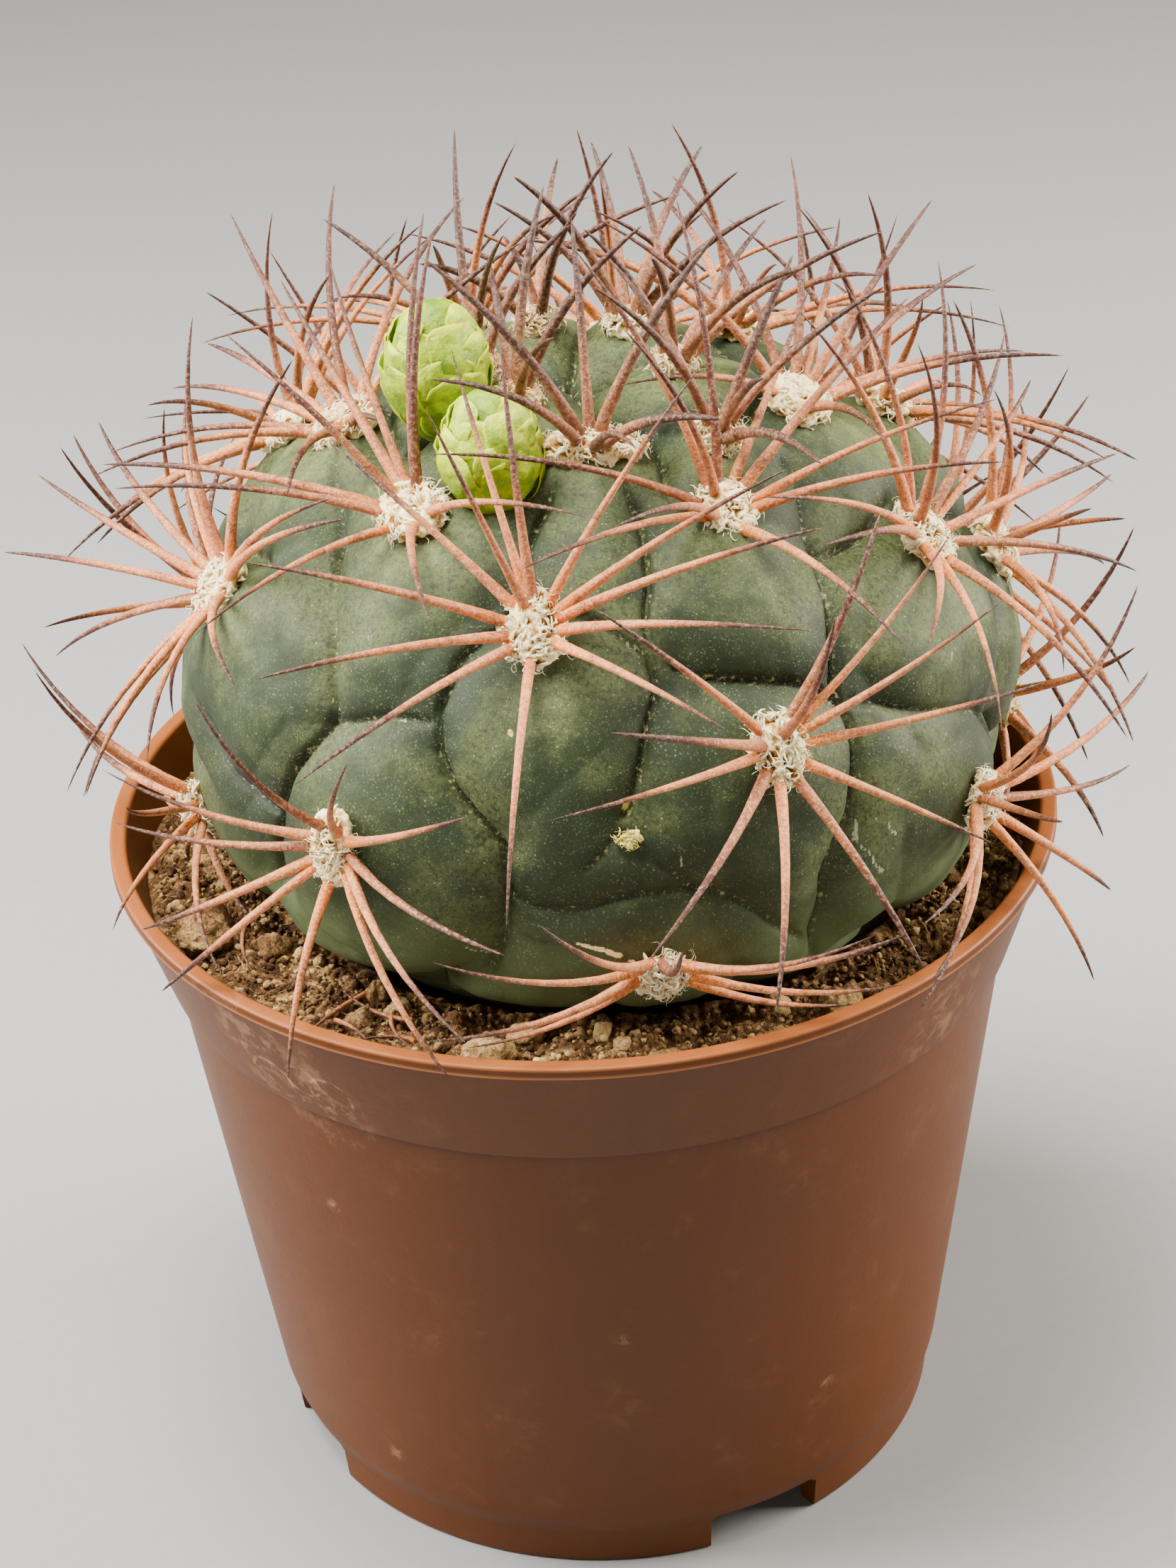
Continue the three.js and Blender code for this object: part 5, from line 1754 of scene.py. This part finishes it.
def wool_finish(name, crest, felt, gap, pit):
    """A ramp by depth in the felt, darker in crevices as dirt and painted shade, roughened by
    noise of two sizes, then tinted warm.
    """
    wool = Finish(name)
    crevice, warm = wool.attribute("crevice"), wool.attribute("warm")
    grain, fuzz = wool.noise(0.35, 4, 0.8), wool.noise(1.1, 4, 0.7)
    shade = (crevice * 0.8 + (fuzz - 0.5) * 0.9 + (grain - 0.5) * 0.5).limited()
    colour = wool.ramp(shade, (0, crest), (0.42, felt), (0.68, gap), (1, pit))
    colour = wool.blend((warm * 0.55).limited(), colour, seen(206, 150, 92))
    matted = wool.bump(grain + fuzz, 0.22)
    return wool.shade({
        "Base Color": colour, "Roughness": 0.9 + grain * 0.1, "Normal": matted,
        "Specular IOR Level": 0.15,
    })


WOOL_FELT = wool_finish(
    "wool", seen(255, 250, 210), seen(255, 232, 170), seen(204, 150, 82), seen(100, 60, 30)
)
print("nodes in the wool:", len(WOOL_FELT.node_tree.nodes))

# %% Placing the wool
WARM_PADS = {"young_areole_3": 1, "young_areole_4": 1, "young_areole_5": 0.6,
             "young_areole_7": 0.5, "areole_11": 0.5}
PLAIN_PAD = (0.92, 0.92)
WOOL_SEED = 100


def add_wool(name, frame, spines, seed):
    """The pad, thick curls matted over it, and a few thin strays."""
    stretch, rng = WIDE_PADS.get(name, PLAIN_PAD), np.random.default_rng(seed)
    pad, pad_quads, crevice = wool_pad(frame, spine_feet(frame, spines), stretch, seed)
    strands = [fibres(frame, stretch, rng, **kind) for kind in (CURLS, STRAYS)]
    tint = rng.uniform(0, 0.45, CURLS["count"] + STRAYS["count"])
    tint = np.repeat(tint, len(FIBRE_SHARES) * FIBRE_SIDES)
    return add_piece(
        name + "_wool", [(pad, pad_quads), *strands], WOOL_FELT, "wool", name,
        crevice=np.append(crevice, tint), warm=WARM_PADS.get(name, 0),
    )


for seed, ((name, frame, _, _), spines) in enumerate(zip(areoles, settled)):
    add_wool(name, frame, spines, WOOL_SEED + seed)
print("wool pieces", len(areoles))

# %% [markdown]
# One areole on a low tubercle never grew spines. It left a dry tuft no wider than a grain of
# rice. A speck of colour would be flat in the side light, so it is a small pad of yellower
# felt, set on the fine surface itself.

# %% Dry tuft
TUFT_PLACE, TUFT_WOOL, TUFT_SEED = (2.3, 81.5), (1.5, 1, 0.6), 5
FAR_OUT = [[0, 0, 50]]  # no spine's foot is near, so nothing raises a collar
DRY_FELT = wool_finish(
    "dry_wool", seen(240, 228, 130), seen(222, 200, 104), seen(170, 140, 62), seen(92, 66, 30)
)


def add_tuft():
    """A small pad and short curls, where the stem's grid comes nearest to the place."""
    at = stem_points[np.linalg.norm(stem_globe - globe(*TUFT_PLACE), axis=1).argmin()]
    frame = {**areole_frame(*TUFT_PLACE, TUFT_WOOL), "at": at}
    pad, pad_quads, crevice = wool_pad(frame, at + FAR_OUT, (1, 1), TUFT_SEED)
    hairs, hair_quads = fibres(frame, (1, 1), np.random.default_rng(TUFT_SEED), **DRY_HAIRS)
    return add_piece(
        "dry_tuft", [(pad, pad_quads), (hairs, hair_quads)], DRY_FELT, "wool",
        crevice=np.append(crevice * 0.8, np.full(len(hairs), 0.3)), warm=0,
    )


print("tuft", [round(d / MM, 1) for d in add_tuft().dimensions])

# %% [markdown]
# A few shed spines lie on the soil in front. Dropping them by a simulation would settle them
# by chance; these are the same awls, listed where the photograph has them, each level on the
# highest crumb under it.

# %% Shed spines
SHED_RADIUS, SHED_TAPER = 0.42, 0.5
# azimuth, distance from the axis, heading, length, bend
SHED = [(-38, 51.5, -52, 13, 0.3), (-31, 49.5, -95, 9, -0.6), (-29, 50.5, -20, 7, 0.7),
        (-33, 51, 60, 6, -0.4), (-27, 50, -130, 5, 0.8), (-60, 50, -15, 12, 0.4)]


def shed_spine(azimuth, out, heading, length, bend):
    """start + way t + bend t² times the length, level on the soil and lifted at one end."""
    start = polar(azimuth, out, 0)
    way = polar(heading, 1, 0)
    side = np.cross([0, 0, 1], way)
    t = SPINE_ROWS[:, None]
    path = start + length * (way * (t - 0.5) + side * bend * t**2)
    out = np.hypot(path[:, 0], path[:, 1])
    path[:, :2] *= np.minimum(1, (inner_radius(SOIL_Z) - 1) / out)[:, None]
    path[:, 2] = soil_top(path[:, 0], path[:, 1]).max() + 0.4 + 0.5 * SPINE_ROWS
    return tube(path, awl(SPINE_ROWS, SHED_RADIUS, SHED_TAPER), np.array([0, 0, 1.0]))


shed = [shed_spine(*place) for place in SHED]
add_piece(
    "shed_spines", shed, SPINE_SKIN, "spines",
    along=np.tile(np.repeat(SPINE_ROWS, SPINE_SIDES), len(SHED)) * 0.8, tone=0.5, age=0.65,
)
print(len(SHED), "shed spines")

# %% [markdown]
# ## Flower buds
#
# A bud is an egg wrapped in broad, overlapping scales with thin pale margins. They climb in a
# spiral, each 137.5 degrees on from the last, as leaves do. A carved egg would look whole;
# each scale is a closed lens of its own, laid against the egg, so overlaps cast real shadows.

# %% Bud scales
SCALE_COUNT, SPIRAL_DEGREES = 19, 137.5
SCALE_ROWS, SCALE_COLUMNS = 20, 28
CORE_SHARE = 0.86  # the egg's radius in the bud's


def egg(rise, turn, radius, height):
    """A point on the bud's core: width by the circle's root law, rise times height up."""
    wide = radius * CORE_SHARE * np.sqrt(np.clip(1 - (2 * rise - 1) ** 2, 0, None))
    x, y, z = wide * np.cos(turn), wide * np.sin(turn), rise * height
    return np.stack(np.broadcast_arrays(x, y, z), axis=-1)


def bud_scale(k, radius, height):
    """A lens bent over the egg: wide in the middle, blunt at the top, its tip a little free."""
    low = 0.02 + 0.6 * k / SCALE_COUNT + 0.03 * chance(k, 3)
    long = 0.5 - 0.14 * k / SCALE_COUNT + 0.06 * chance(k, 4)
    turn = math.radians(SPIRAL_DEGREES * k + 20 + 24 * chance(k, 5))
    v, u = np.meshgrid(
        np.linspace(0, 1, SCALE_ROWS), even_turns(SCALE_COLUMNS), indexing="ij"
    )
    wide = radius * (0.66 - 0.22 * k / SCALE_COUNT) * np.sqrt(np.clip(1 - (2 * v - 1) ** 4, 0, 1))
    aside, layer = wide * np.cos(u), 0.28 * np.sin(u) * np.sin(math.pi * v) ** 0.5
    spine = egg(low + long * v, turn, radius, height)
    out = np.array([math.cos(turn), math.sin(turn), 0])
    side = np.array([-math.sin(turn), math.cos(turn), 0])
    ring = np.maximum(np.linalg.norm(spine[..., :2], axis=-1), 0.42 * radius)
    bend = aside**2 / (2 * ring)
    lift = 0.12 + 1.1 * v**1.5 * (1 - k / SCALE_COUNT * 0.6) + layer
    points = spine + side * aside[..., None] + out * (lift - bend)[..., None]
    points = points + lumps(points, 2.4, k, 3)[..., None] * out
    margin = np.maximum(np.abs(np.cos(u)) ** 6, smoothstep(0.8, 0.98, v))
    return points.reshape(-1, 3), margin.ravel(), v.ravel()


print("a scale's points", bud_scale(0, 6, 16)[0].shape)

# %% [markdown]
# The scales are yellow-green, waxy and a little translucent, brighter where they are young
# and near the tip, with a dry pale margin. Light that enters them comes out again close by,
# which is what Subsurface is for.

# %% Bud finish


def bud_finish():
    """Two greens clouded together, darker at the foot, brighter at the tip, pale margins."""
    bud = Finish("bud_scales")
    margin, along = bud.attribute("margin"), bud.attribute("along")
    fine, cloud = bud.noise(0.5, 3), bud.noise(2.4, 3)
    edge = (margin * 1.15 - fine * 0.4).between(0.25, 0.8)
    colour = bud.layers(
        bud.blend(cloud.between(0.35, 0.65), seen(96, 130, 0), seen(160, 180, 0)),
        ((1 - along).between(0.3, 1) * 0.5, seen(66, 98, 20)),
        (along.between(0.5, 1) * 0.4, seen(180, 196, 8)),
        (edge * 0.3, seen(212, 218, 36)),
    )
    return bud.shade({
        "Base Color": colour, "Roughness": 0.4 + fine * 0.2, "Specular IOR Level": 0.3,
        "Normal": bud.bump(cloud + fine * 0.5, 0.3), "Subsurface Weight": 0.1,
        "Subsurface Radius": (0.002, 0.003, 0.001), "Subsurface Scale": 1,
    })


BUD_SKIN = bud_finish()
print("nodes in the buds' finish:", len(BUD_SKIN.node_tree.nodes))

# %% Placing the buds
CORE_ROWS, CORE_COLUMNS = 24, 32


def add_bud(name, azimuth, angle, radius, height):
    """The core egg and its scales, foot to tip, standing straight up from the stem."""
    core, core_quads = ball(CORE_ROWS, CORE_COLUMNS)
    wide = radius * CORE_SHARE
    core = core * [wide, wide, height / 2] + [0, 0, height / 2]
    scales = [bud_scale(k, radius, height) for k in range(SCALE_COUNT)]
    quads = grid_quads(SCALE_ROWS, SCALE_COLUMNS, around=True)
    foot = bud_foot(azimuth, angle)
    surfaces = [(core + foot, core_quads), *[(points + foot, quads) for points, _, _ in scales]]
    margin = np.concatenate([np.zeros(len(core)), *[m for _, m, _ in scales]])
    along = np.concatenate([np.full(len(core), 0.2), *[v for _, _, v in scales]])
    return add_piece(
        name + "_scales", surfaces, BUD_SKIN, "bud_scales", name, margin=margin, along=along
    )


for name, place in BUDS.items():
    bud = add_bud(name, *place)
    print(name, [round(d / MM, 1) for d in bud.dimensions])

# %% [markdown]
# ## Finish
#
